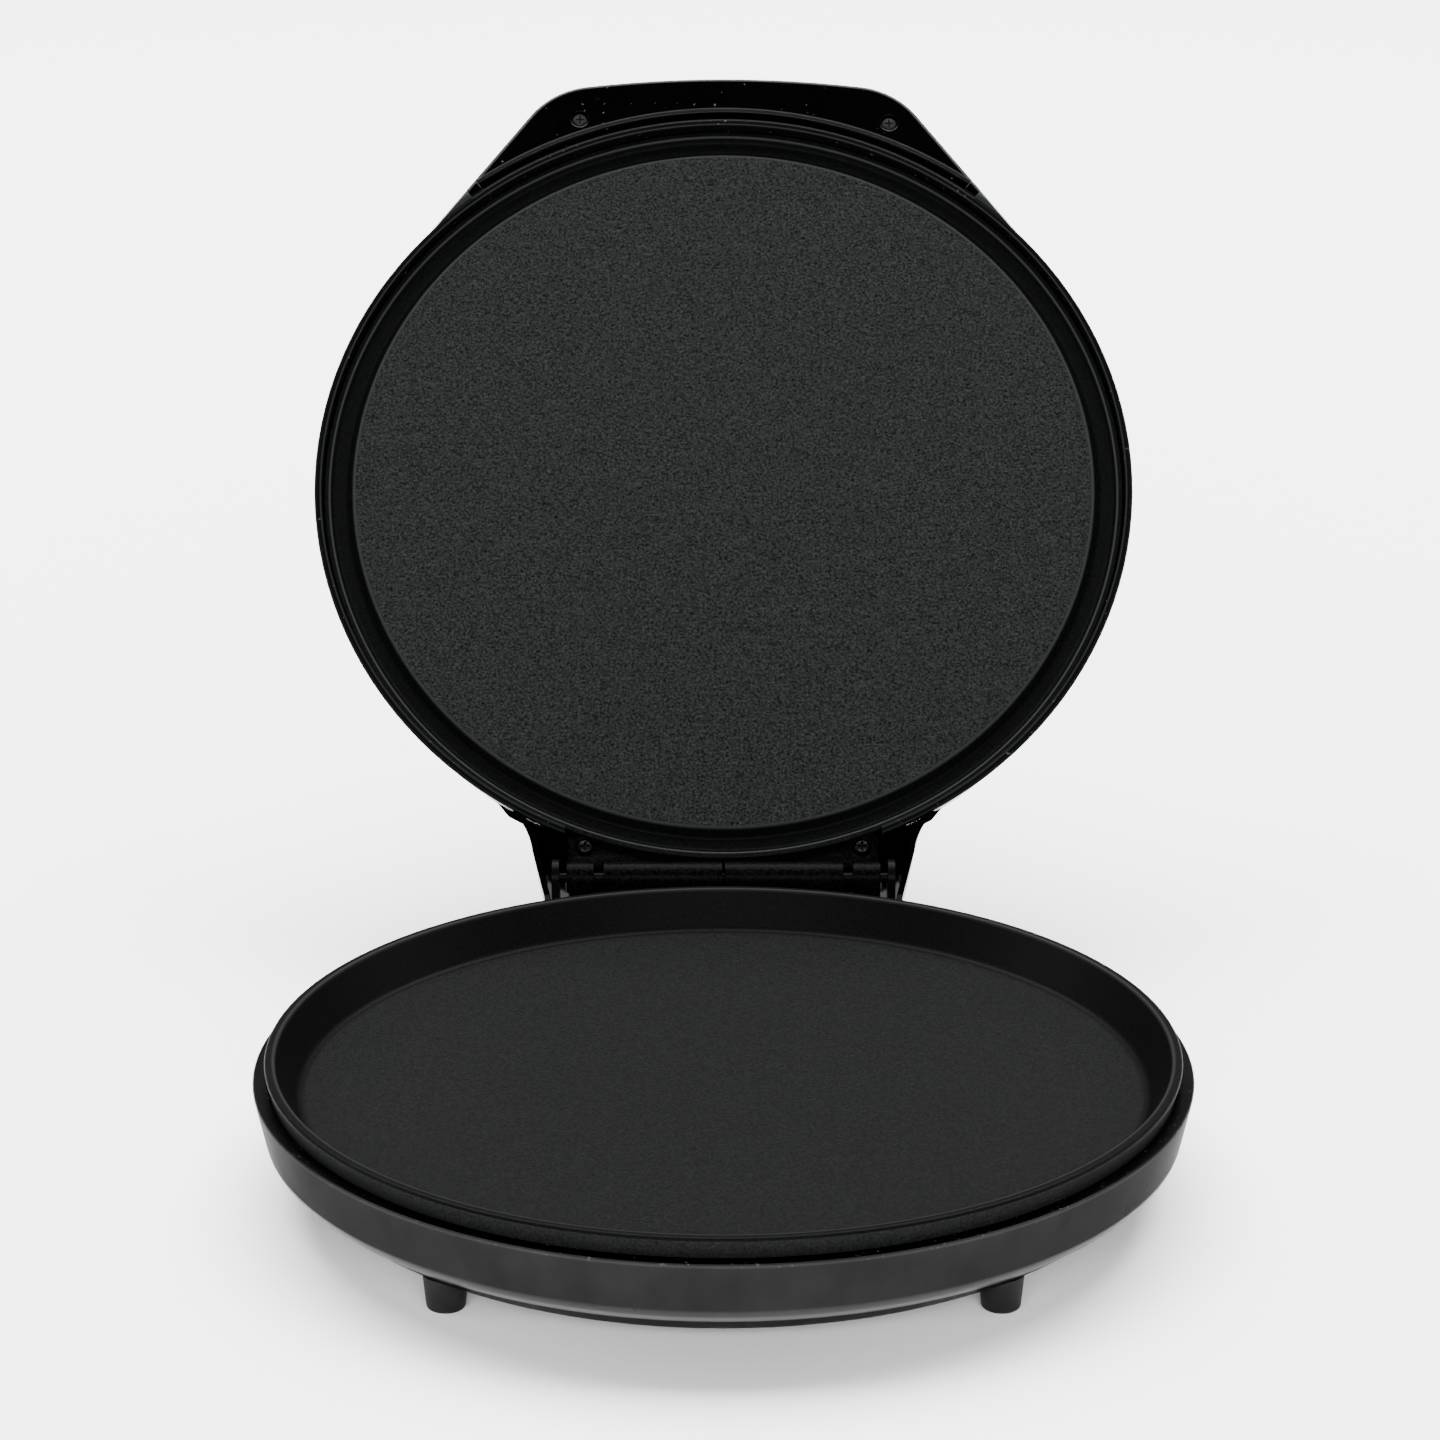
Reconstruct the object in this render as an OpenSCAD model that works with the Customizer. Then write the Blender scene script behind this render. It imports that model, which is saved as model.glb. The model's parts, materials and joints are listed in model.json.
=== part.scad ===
// Electric pizza maker: a round countertop cooker with a pan in its base and a heated plate in its lid.
// Lengths are in millimetres. The lid is drawn shut and then swung open about the hinge pin.

/* [Overall] */
// Outer radius of the base and of the lid
housing_r = 172; // [165:1:180]
// Height of the base's lip above the worktop
base_h = 45; // [43:0.5:50]
// Height of the feet, from the worktop to the base's flat underside
foot_h = 8; // [7:0.5:9]
// Gap between the base's lip and the lid's lip when the lid is shut
lip_gap = 5.5; // [5:0.5:7]
// Angle that the lid stands open at
open_angle = 130; // [110:1:130]

/* [Shells] */
// Wall thickness of the moulded shells
wall = 2.5; // [2:0.1:3]
// How far the side wall draws in from the lip to its lower corner
side_draft = 4.3; // [3:0.1:6]
// Height of the side wall of the base
side_h = 21; // [18:0.5:23]
// Radius of the corner under the side wall
side_corner_r = 6; // [4:0.5:8]
// Run of the sloping belly, from the outer radius in to the flat underside
belly_run = 25.5; // [23:0.5:28]
// Radius of the bend between belly and flat underside
belly_bend_r = 30; // [20:1:34]
// Rounding of the outer edge of both lips
lip_round = 0.8; // [0.4:0.1:0.9]
// Width of the flat lip round the base
lip_w = 5.6; // [5.4:0.1:5.8]
// Depth of the ledge that the pan sits on, under the lip
ledge_drop = 4; // [3.5:0.1:5]
// Depth of the lid's shell from its lip to the edge of its top
lid_depth = 34; // [32:0.5:38]
// Height of the side wall of the lid
lid_side_h = 18; // [16:0.5:20]
// Rise of the lid's top from its edge to its centre
lid_crown = 3; // [2:0.5:5]
// Width of the lid's lip
lid_lip_w = 3.2; // [3:0.1:3.4]

/* [Lower plate] */
// Gap between the pan's skirt and the base's lip
pan_gap = 0.4; // [0.3:0.05:0.6]
// Height that the pan's rim stands above the base's lip
pan_proud = 7.5; // [7:0.25:8]
// How far the pan's skirt draws in from the rim down to the lip
skirt_draft = 2; // [1.6:0.1:2.2]
// Width of the flat rim of the pan
pan_rim_w = 4; // [3.5:0.1:5]
// Depth of the pan from its rim to its floor
pan_depth = 15; // [13:0.5:16]
// Run of the pan's sloping wall
pan_wall_run = 8; // [6:0.5:10]
// Thickness of the cast plates
plate_t = 2.5; // [2:0.1:3]

/* [Upper plate] */
// Gap round the upper plate inside the lid's lip
upper_gap = 0.5; // [0.4:0.05:0.8]
// How far the upper plate's rim lies behind the lid's lip
upper_recess = 5; // [4.5:0.25:6]
// Width of the upper plate's flat rim
upper_rim_w = 2.4; // [2:0.1:3]
// Width of the channel between the rim and the cooking face
channel_w = 10; // [9:0.5:12]
// Depth of that channel behind the rim
channel_d = 2.5; // [2:0.1:3]
// How far the cooking face stands proud of the rim
face_proud = 1.5; // [1:0.1:2]

/* [Hinge] */
// Distance of the hinge axis behind the round shells
hinge_back = 6; // [5.5:0.1:7]
// Height of the hinge axis above the base's lip
hinge_rise = 7; // [6.5:0.1:8]
// Radius of the hinge pin
pin_r = 2; // [1.8:0.05:2.4]
// Running clearance between the pin and its bores, on the radius
pin_clear = 0.05; // [0.03:0.01:0.08]
// Outer radius of the hinge barrels
barrel_r = 6.4; // [6:0.1:6.6]
// Space between a long barrel and the short knuckle beside it
barrel_space = 4; // [2:0.5:10]
// Length of each short knuckle
short_knuckle = 11; // [9:0.5:11]
// Gap between the ears and the ends of the castings
casting_gap = 3; // [2:0.5:4]
// Thickness of the castings' flat leaves
leaf_t = 3; // [2.5:0.1:3.2]
// Sideways gap between barrels that turn against each other
knuckle_gap = 1; // [0.5:0.1:1.5]
// Half the width of the rear block that carries the hinge
block_half = 69.5; // [69:0.25:70]
// Depth of the rear block behind the hinge axis
block_back = 19.5; // [19.25:0.25:21]
// Thickness of the ears that hold the pin's ends
ear_t = 3; // [2.5:0.1:3.5]
// Radius of the ears' round tops
ear_r = 7.5; // [7:0.1:8]

/* [Hinge cover] */
// Outer radius of the lid's hinge cover round the hinge axis
cover_r = 16; // [15.5:0.1:16.4]
// Gap between the ears and the inner sides of the hinge cover, at the axis
cover_gap = 2.8; // [2.6:0.1:4]
// Angle at which the cover's sides draw together towards the rear
cover_taper = 14.5; // [12:0.5:16]
// Radius of the sweep from the round lid into the cover
cover_sweep_r = 30; // [24:1:34]
// Draft of that sweep, which makes it wider towards the top of the lid
cover_sweep_draft = 11; // [8:1:13]

/* [Handle] */
// Angle from the side at which the handle leaves the round lid
handle_angle = 36.5; // [34:0.5:39]
// Radius of the handle's outer corners
handle_corner_r = 35.7; // [30:0.1:38]
// Distance of those corners' centres inside the round outline's front
handle_corner_in = 17.7; // [14:0.1:22]
// Distance of the centre of the handle's front edge behind the lid's centre
handle_crown_y = 272; // [250:1:400]
// Angle each side of the front at which the handle meets the lid's shoulders
handle_half_angle = 39; // [37:0.5:41]
// Thickness of the handle's lower cover
handle_cover_t = 5; // [4.5:0.1:6]
// Radial width of the curved pocket in the handle's cover
pocket_w = 5.2; // [4:0.1:6]
// Depth of that pocket
pocket_d = 2.4; // [2:0.1:3]

/* [Feet] */
// Radius of a foot where it meets the base
foot_r = 8; // [7:0.25:9]
// Radius of a foot near the worktop
foot_tip_r = 6.8; // [6:0.1:7.5]
// Distance of the front feet inside the base's outer radius
front_foot_inset = 26; // [24:1:32]
// Angle of the front feet each side of the centre line
front_foot_angle = 41.1; // [36:0.1:44]
// Distance of the rear feet inside the sides of the rear block
rear_foot_inset = 13.5; // [12:0.5:17]
// Distance of the rear feet behind the hinge axis
rear_foot_back = 6; // [4:0.5:8]

/* [Heating] */
// Distance of the ring of each heating element inside the ring of posts
element_inset = 25; // [18:1:32]
// Radius of the element's sheath
element_r = 3.2; // [2.8:0.1:3.4]
// Angle each side of the rear at which the element turns out
element_gap_angle = 15; // [12:1:18]
// Radius of the element's bends
element_bend_r = 9; // [8:0.5:10]
// Distance of the plates' posts inside the outer radius
post_inset = 42; // [40:1:46]
// Radius of a post
post_r = 5; // [4.6:0.1:5.4]
// Thickness of the reflectors' sheet
sheet_t = 0.8; // [0.6:0.1:1]

/* [Cord inlet] */
// Radius of the bore through the inlet bush
inlet_r = 4; // [3:0.1:4.4]
// Length of the inlet bush
inlet_len = 16; // [14:0.5:18]
// Gap between the inlet bush and the underside of the rear block's roof
inlet_drop = 3; // [2:0.25:3.25]

/* [Hidden] */
$fn = 96;

// Small clearances: faces that seat, holes round screws, and pieces that slide past each other
seat_gap = 0.2;
screw_clear = 0.3;
thread_gap = 0.05;
swing_gap = 0.6;
past = 1;

// Hinge axis, and the height of the lid's lip when it is shut
hinge_y = housing_r + hinge_back;
hinge_z = base_h + hinge_rise;
lid_z = base_h + lip_gap;

// Widths along the hinge: the castings lie between the ears, and the cover passes outside them
casting_half = block_half - ear_t - casting_gap;
long_barrel = casting_half - short_knuckle - knuckle_gap / 2 - barrel_space;
cover_half = block_half + cover_gap + wall;

// The handle's outer corners, and the large arc of its front edge
handle_corner_y = housing_r - handle_corner_in;
handle_corner_x = (housing_r - handle_corner_r - handle_corner_y * sin(handle_angle)) / cos(handle_angle);
handle_crown_r = norm([handle_corner_x, handle_corner_y + handle_crown_y]) + handle_corner_r;
handle_reach = handle_crown_r - handle_crown_y;
handle_crown_half = atan(handle_corner_x / (handle_corner_y + handle_crown_y));

// Layers of the handle and of its cover: each is [height above the lid's lip, inset]
handle_rise = 1.5;
seam_z = handle_rise + handle_cover_t;
seam_gap = 0.1;
cover_layers = [[handle_rise, 1.8], [1.7, 1.1], [2.2, 0.5], [3.1, 0.1], [seam_z, 0]];
handle_layers = [[seam_z + seam_gap, 0], [12, 1], [16, 4], [20, 12], [23, 24]];

// Slope of the hinge cover's top, from the lid's top down to the round over the hinge axis
cover_reach = 36;
cover_drop = 5;
cover_front_y = housing_r - cover_reach;
cover_front_z = lid_z + lid_depth - cover_drop;
cover_slope = let (dy = hinge_y - cover_front_y, dz = cover_front_z - hinge_z)
    acos(cover_r / norm([dy, dz])) - atan(dy / dz);
cover_end_angle = 45;

// Colours
housing_grey = [0.22, 0.22, 0.23];
gloss_black = [0.04, 0.04, 0.045];
plate_black = [0.10, 0.11, 0.11];
cast_black = [0.14, 0.14, 0.14];
steel = [0.72, 0.72, 0.73];
dark_steel = [0.35, 0.35, 0.36];
rubber_black = [0.07, 0.07, 0.07];
ceramic = [0.90, 0.88, 0.83];
red_lens = [0.85, 0.12, 0.08];
green_lens = [0.15, 0.75, 0.25];

// Helpers for outlines: corners are [x, y, radius], and each radius becomes an arc
arc_steps = 8;
function unit(v) = v / norm(v);
function turn(a, b) = a[0] * b[1] - a[1] * b[0];
function corner_arc(before, corner, after) =
    let (
        tip = [corner[0], corner[1]],
        to_before = unit([before[0], before[1]] - tip),
        to_after = unit([after[0], after[1]] - tip),
        half = acos(min(1, max(-1, to_before * to_after))) / 2,
        middle = tip + unit(to_before + to_after) * (corner[2] / sin(half)),
        from = tip + to_before * (corner[2] / tan(half)) - middle,
        sweep = sign(turn(from, tip - middle)) * (180 - 2 * half)
    )
    [for (i = [0 : arc_steps])
        let (a = sweep * i / arc_steps)
        middle + [from[0] * cos(a) - from[1] * sin(a), from[0] * sin(a) + from[1] * cos(a)]];
function rounded(corners) =
    let (n = len(corners))
    [for (i = [0 : n - 1])
        each corners[i][2] > 0
            ? corner_arc(corners[(i + n - 1) % n], corners[i], corners[(i + 1) % n])
            : [[corners[i][0], corners[i][1]]]];
function arc(centre, r, from, to, steps) =
    [for (i = [0 : steps])
        let (a = from + (to - from) * i / steps)
        centre + r * [cos(a), sin(a)]];

// Where a point of the shut lid lies once the lid stands open
function opened_y(y, z) = hinge_y + (y - hinge_y) * cos(open_angle) + (z - hinge_z) * sin(open_angle);
function opened_z(y, z) = hinge_z - (y - hinge_y) * sin(open_angle) + (z - hinge_z) * cos(open_angle);

// The round shells share one outline: lip, side wall, corner, belly and flat
function shell_corners(depth, side, crown, grow) = [
    [0, -depth - crown - grow, 0],
    [housing_r - belly_run, -depth - grow, belly_bend_r],
    [housing_r - side_draft + grow, -side - grow, side_corner_r + grow],
    [housing_r + grow, -past, 0],
    [housing_r + grow, 0, grow == 0 ? lip_round : 0],
    [0, 0, 0]
];
module shell_solid(depth, side, crown, grow) {
    rotate_extrude() polygon(rounded(shell_corners(depth, side, crown, grow)));
}
module base_solid(grow) {
    translate([0, 0, base_h]) shell_solid(base_h - foot_h, side_h, 0, grow);
}
module lid_solid(grow) {
    translate([0, 0, lid_z]) mirror([0, 0, 1]) shell_solid(lid_depth, lid_side_h, lid_crown, grow);
}

// Everything is moved so that the open appliance stands over the middle of its own footprint
front_y = -housing_r;
back_y = max([for (layer = handle_layers) opened_y(layer[1] - handle_reach, lid_z + layer[0])]);
module in_frame() {
    translate([0, -(front_y + back_y) / 2, 0]) children();
}
module on_lid() {
    in_frame() translate([0, hinge_y, hinge_z]) rotate([-open_angle, 0, 0])
        translate([0, -hinge_y, -hinge_z]) children();
}

// Pan: outer skirt, flat rim, sloping wall and floor
pan_z = base_h + pan_proud;
pan_foot_r = housing_r - lip_w - pan_gap;
pan_r = pan_foot_r + skirt_draft;
pan_seat_z = base_h - ledge_drop;
pan_floor_z = pan_z - pan_depth;
pan_under_z = pan_floor_z - plate_t;
pan_floor_r = pan_r - pan_rim_w - pan_wall_run;
skirt_t = 2;
rim_round = 1.2;
rim_inner_round = 0.8;
floor_fillet = 3;
ledge_w = 5;
ledge_t = 3;

// Posts that hold the reflector under the pan, and the screws through them
post_ring_r = housing_r - post_inset;
element_ring_r = post_ring_r - element_inset;
reflector_gap = 15;
reflector_z = pan_under_z - reflector_gap;
screw_r = 1.65;
screw_head_r = 3.6;
screw_head_h = 2.2;
post_angles = [30, 150, 270];
housing_post_r = post_r + 1;
recess_d = 2.6;

module base_housing() {
    color(housing_grey) in_frame() difference() {
        union() {
            difference() {
                base_solid(0);
                base_solid(-wall);
                cut_top_open();
            }
            base_ledge();
            for (a = post_angles) base_post(a);
            for (s = [-1, 1]) front_foot_boss(s);
        }
        for (a = post_angles) base_post_bore(a);
        for (s = [-1, 1]) translate([s * front_foot_x, -front_foot_y, 0]) screw_hole(base_h / 2);
        base_vents();
        wiring_window();
    }
}
// The wall's inner solid stops at the lip, so the lip's flat top is opened here
module cut_top_open() {
    translate([0, 0, base_h - wall - past]) cylinder(r = housing_r - lip_w, h = wall + 2 * past);
}
module base_ledge() {
    top_r = housing_r - lip_w;
    ring_r = housing_r - wall / 2 - side_draft * (ledge_drop + ledge_t) / side_h;
    rotate_extrude() polygon([
        [top_r, base_h], [housing_r - past, base_h], [ring_r, base_h - ledge_drop - ledge_t],
        [top_r - ledge_w, pan_seat_z - ledge_t], [top_r - ledge_w, pan_seat_z], [top_r, pan_seat_z]
    ]);
}
module base_post(a) {
    rotate(a) translate([post_ring_r, 0, foot_h + wall / 2])
        cylinder(r = housing_post_r, h = reflector_z - sheet_t - foot_h - wall / 2);
}
module base_post_bore(a) {
    rotate(a) translate([post_ring_r, 0, 0]) {
        cylinder(r = screw_r + screw_clear, h = base_h);
        cylinder(r = screw_head_r + screw_clear, h = foot_h + recess_d);
    }
}
module screw_hole(h) {
    cylinder(r = screw_r + thread_gap, h = h);
}
foot_boss_h = 10;
front_foot_x = (housing_r - front_foot_inset) * sin(front_foot_angle);
front_foot_y = (housing_r - front_foot_inset) * cos(front_foot_angle);
module front_foot_boss(s) {
    intersection() {
        translate([s * front_foot_x, -front_foot_y, 0]) cylinder(r = foot_r - past, h = foot_h + foot_boss_h);
        base_solid(-wall / 2);
    }
}
// Rows of short slots let air in under the base
vent_len = 26;
vent_w = 3;
vent_inset = 46;
vent_ring_r = post_ring_r - vent_inset;
vent_pitch = 8;
module base_vents() {
    for (side = [0, 180], i = [-3 : 3])
        rotate(side + i * vent_pitch) translate([vent_ring_r, 0, 0])
            linear_extrude(foot_h + wall + past) slot(vent_len, vent_w);
}
module slot(len, w) {
    square([len - w, w], center = true);
    for (s = [-1, 1]) translate([s * (len - w) / 2, 0]) circle(d = w);
}
// A window in the back of the base lets the leads through to the rear block
window_w = 50;
window_h = 8;
module wiring_window() {
    translate([-window_w / 2, housing_r - 4 * wall - side_draft, inlet_z + past])
        cube([window_w, 6 * wall + side_draft, window_h]);
}

// Rear block behind the base: floor, side walls, back wall, ears and posts for the hinge
block_floor_z = foot_h;
rear_foot_x = block_half - rear_foot_inset;
roof_gap = 2;
block_roof_z = hinge_z - cover_r - roof_gap;
block_corner_r = 12;
block_y = hinge_y + block_back;
leaf_edge = 1;
leaf_y = housing_r + leaf_edge;
stop_gap = 0.3;
block_post_w = 16;
block_post_in = casting_half - block_post_w;
block_reach = 26;
block_front_y = housing_r - block_reach;
leaf_screw_inset = 8.5;
leaf_screw_x = casting_half - leaf_screw_inset;
leaf_screw_drop = 12.3;
leaf_screw_z = hinge_z - leaf_screw_drop;
leaf_screw_len = 10;
module block_plan(inset, h) {
    linear_extrude(h) polygon(rounded([
        [-block_half + inset, block_front_y, 0], [block_half - inset, block_front_y, 0],
        [block_half - inset, block_y - inset, block_corner_r - inset],
        [-block_half + inset, block_y - inset, block_corner_r - inset]
    ]));
}
// Height of the back wall, which is where the open lid comes to rest
stop_line_y = opened_y(hinge_y + cover_r * sin(cover_slope), hinge_z + cover_r * cos(cover_slope));
stop_line_z = opened_z(hinge_y + cover_r * sin(cover_slope), hinge_z + cover_r * cos(cover_slope));
stop_slope = open_angle - 90 - cover_slope;
function stop_z(y) = stop_line_z + (y - stop_line_y) * tan(stop_slope) - stop_gap / cos(stop_slope);
module back_wall_profile() {
    rotate([90, 0, 90]) linear_extrude(2 * block_half, center = true) polygon([
        [block_front_y - past, -past], [block_y + past, -past], [block_y + past, stop_z(block_y + past)],
        [block_y - wall, stop_z(block_y - wall)], [block_y - wall, block_roof_z],
        [block_front_y - past, block_roof_z]
    ]);
}
// Each ear is cut away where the lid's hinge cover swings down behind the pin
module ear_profile() {
    rotate([90, 0, 90]) linear_extrude(2 * block_half, center = true) difference() {
        union() {
            translate([hinge_y, hinge_z]) circle(r = ear_r);
            translate([hinge_y - ear_r, block_floor_z]) square([2 * ear_r, hinge_z - block_floor_z]);
        }
        intersection() {
            translate([hinge_y, hinge_z]) difference() {
                circle(r = cover_r + swing_gap);
                circle(r = cover_r - wall - swing_gap);
            }
            translate([hinge_y, block_floor_z]) square(hinge_z);
        }
    }
}
module base_hinge_block() {
    color(gloss_black) in_frame() difference() {
        union() {
            intersection() {
                difference() {
                    translate([0, 0, block_floor_z]) block_plan(0, base_h);
                    translate([0, 0, block_floor_z + wall])
                        block_plan(wall, block_roof_z - 2 * wall - block_floor_z);
                    translate([0, 0, block_roof_z]) block_plan(wall, base_h);
                }
                back_wall_profile();
            }
            block_ears();
            for (s = [-1, 1]) block_post(s);
            for (s = [-1, 1]) translate([s * rear_foot_x, hinge_y + rear_foot_back, block_floor_z])
                cylinder(r = foot_r - past, h = foot_boss_h);
        }
        base_solid(seat_gap);
        translate([0, 0, base_h - past]) cylinder(r = housing_r + seat_gap, h = base_h);
        translate([0, hinge_y, hinge_z]) rotate([0, 90, 0])
            cylinder(r = pin_r + pin_clear, h = 2 * block_half + 2 * past, center = true);
        for (s = [-1, 1]) translate([s * rear_foot_x, hinge_y + rear_foot_back, 0])
            screw_hole(block_floor_z + foot_boss_h - past);
        for (s = [-1, 1]) leaf_screw_bore(s, screw_r + thread_gap);
        translate([0, block_y, inlet_z]) rotate([90, 0, 0])
            cylinder(r = bush_r + pan_gap / 2, h = 4 * wall, center = true);
        block_window();
    }
}
module block_window() {
    translate([-window_w / 2, block_front_y, inlet_z + past]) cube([window_w, block_reach + wall, window_h]);
}
module block_ears() {
    intersection() {
        ear_profile();
        union() {
            for (s = [-1, 1]) translate([s * (block_half - ear_t / 2), hinge_y, 0])
                translate([-ear_t / 2, -block_back, 0]) cube([ear_t, 2 * block_back, 2 * base_h]);
        }
    }
}
module block_post(s) {
    lo = s > 0 ? block_post_in : -casting_half;
    translate([lo, block_front_y, block_floor_z])
        cube([block_post_w, leaf_y - block_front_y, leaf_top_z - leaf_edge - block_floor_z]);
}
module leaf_screw_bore(s, r) {
    translate([s * leaf_screw_x, leaf_y + leaf_t + past, leaf_screw_z]) rotate([90, 0, 0])
        cylinder(r = r, h = leaf_t + past + leaf_screw_len);
}

// The two hinge castings: a long barrel on one side and a short knuckle on the other
short_in = casting_half - short_knuckle;
module hinge_barrels(s, extra) {
    translate([s > 0 ? knuckle_gap / 2 - extra : -long_barrel - knuckle_gap / 2 - extra, hinge_y, hinge_z])
        rotate([0, 90, 0]) cylinder(r = barrel_r + extra, h = long_barrel + 2 * extra);
    translate([s > 0 ? -casting_half - extra : short_in - extra, hinge_y, hinge_z])
        rotate([0, 90, 0]) cylinder(r = barrel_r + extra, h = short_knuckle + 2 * extra);
}
module pin_bore() {
    translate([0, hinge_y, hinge_z]) rotate([0, 90, 0])
        cylinder(r = pin_r + pin_clear, h = 2 * casting_half + 2 * past, center = true);
}
module barrel_strip(s, y0, z0, dy, dz) {
    translate([s > 0 ? knuckle_gap / 2 : -long_barrel - knuckle_gap / 2, y0, z0]) cube([long_barrel, dy, dz]);
    translate([s > 0 ? -casting_half : short_in, y0, z0]) cube([short_knuckle, dy, dz]);
}
leaf_low_z = block_roof_z + leaf_edge;
leaf_top_z = hinge_z - barrel_r - leaf_edge;
module base_hinge_casting() {
    color(cast_black) in_frame() difference() {
        union() {
            hinge_barrels(-1, 0);
            translate([-casting_half, leaf_y, leaf_low_z])
                cube([2 * casting_half, leaf_t, leaf_top_z - leaf_low_z]);
            barrel_strip(-1, leaf_y, leaf_low_z, leaf_t, hinge_z - leaf_low_z);
        }
        pin_bore();
        hinge_barrels(1, swing_gap);
        for (s = [-1, 1]) leaf_screw_bore(s, screw_r + screw_clear);
    }
}
module screw(len) {
    difference() {
        union() {
            translate([0, 0, -len]) cylinder(r = screw_r, h = len + past);
            cylinder(r1 = screw_head_r, r2 = screw_head_r - screw_head_h / 2, h = screw_head_h);
        }
        for (a = [0, 90]) rotate(a) translate([-screw_head_r / 2, -cross_w / 2, screw_head_h - cross_d])
            cube([screw_head_r, cross_w, cross_d + past]);
    }
}
cross_w = 0.9;
cross_d = 1.1;
module base_hinge_screws() {
    color(dark_steel) in_frame() for (s = [-1, 1])
        translate([s * leaf_screw_x, leaf_y + leaf_t, leaf_screw_z]) rotate([-90, 0, 0])
            screw(leaf_screw_len);
}
pin_chamfer = 0.4;
module hinge_pin() {
    color(steel) in_frame() translate([-block_half, hinge_y, hinge_z]) rotate([0, 90, 0])
        rotate_extrude() polygon(rounded([
            [0, 0, 0], [pin_r, 0, pin_chamfer], [pin_r, 2 * block_half, pin_chamfer], [0, 2 * block_half, 0]
        ]));
}

// Lower plate
module lower_plate() {
    color(plate_black) in_frame() difference() {
        union() {
            rotate_extrude() polygon(rounded([
                [0, pan_floor_z, 0], [pan_floor_r, pan_floor_z, floor_fillet],
                [pan_r - pan_rim_w, pan_z, rim_inner_round], [pan_r, pan_z, rim_round],
                [pan_foot_r, base_h, 0], [pan_foot_r, pan_seat_z, 0],
                [pan_foot_r - skirt_t, pan_seat_z, 0], [pan_foot_r - skirt_t, base_h, 0],
                [pan_r - skirt_t - rim_round, pan_z - plate_t, 0],
                [pan_floor_r + skirt_t, pan_under_z, floor_fillet], [0, pan_under_z, 0]
            ]));
            for (a = post_angles) rotate(a) translate([post_ring_r, 0, reflector_z])
                cylinder(r = post_r, h = reflector_gap + plate_t / 2);
        }
        for (a = post_angles) rotate(a) translate([post_ring_r, 0, reflector_z - past])
            screw_hole(reflector_gap - past);
    }
}

// A sheathed element: an open ring whose ends turn out to the rear, with a pin at each end
element_leg = 24;
element_pin_r = 1.2;
element_pin = 8;
module element_half_end() {
    a = 90 + element_gap_angle;
    bend = (element_ring_r + element_bend_r) * [cos(a), sin(a)];
    leg_x = bend[0] + element_bend_r;
    translate([bend[0], bend[1], 0]) rotate(a + 180)
        rotate_extrude(angle = 90 - element_gap_angle) translate([element_bend_r, 0]) circle(r = element_r);
    translate([leg_x, bend[1], 0]) rotate([-90, 0, 0]) {
        cylinder(r = element_r, h = element_leg);
        cylinder(r = element_pin_r, h = element_leg + element_pin);
    }
}
module element_loop() {
    rotate(90 + element_gap_angle) rotate_extrude(angle = 360 - 2 * element_gap_angle)
        translate([element_ring_r, 0]) circle(r = element_r);
    element_half_end();
    mirror([1, 0, 0]) element_half_end();
}
clip_angles = [0, 180, 240, 300];
clip_w = 10;
clip_t = 1;
clip_foot = 7;
clip_gap = 0.3;
module element_clips() {
    clip_in = element_r + clip_gap;
    for (a = clip_angles) rotate(a) translate([element_ring_r, clip_w / 2, 0]) rotate([90, 0, 0])
        linear_extrude(clip_w) difference() {
            union() {
                circle(r = clip_in + clip_t);
                translate([-clip_in - clip_t, 0]) square([2 * clip_in + 2 * clip_t, element_r + seat_gap]);
                translate([-clip_in - clip_foot, element_r + seat_gap - clip_t])
                    square([2 * clip_in + 2 * clip_foot, clip_t]);
            }
            circle(r = clip_in);
            translate([-clip_in, 0]) square([2 * clip_in, element_r + past]);
            translate([-clip_in - clip_foot, element_r + seat_gap])
                square([2 * clip_in + 2 * clip_foot, clip_foot]);
        }
}
lower_element_z = pan_under_z - element_r - seat_gap;
module lower_element() {
    color(dark_steel) in_frame() translate([0, 0, lower_element_z]) element_loop();
}
module lower_element_clips() {
    color(steel) in_frame() translate([0, 0, lower_element_z]) element_clips();
}

// Reflector dish: a flat sheet with a raised rim, screwed up against the posts
reflector_edge = 16;
reflector_r = post_ring_r + reflector_edge;
dish_rise = 9;
dish_run = 8;
screw_spare = 4;
module reflector_dish(rise) {
    difference() {
        rotate_extrude() polygon([
            [0, 0], [reflector_r - dish_run, 0], [reflector_r, rise], [reflector_r, rise - sheet_t],
            [reflector_r - dish_run + sheet_t / 3, -sheet_t], [0, -sheet_t]
        ]);
        for (a = post_angles) rotate(a) translate([post_ring_r, 0, -dish_rise])
            cylinder(r = screw_r + screw_clear, h = 2 * dish_rise);
    }
}
module lower_reflector() {
    color(steel) in_frame() translate([0, 0, reflector_z]) reflector_dish(dish_rise);
}
module base_screws() {
    len = reflector_z + reflector_gap - foot_h - recess_d - screw_spare;
    color(dark_steel) in_frame() for (a = post_angles)
        rotate(a) translate([post_ring_r, 0, foot_h + recess_d]) mirror([0, 0, 1]) screw(len);
}

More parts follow.
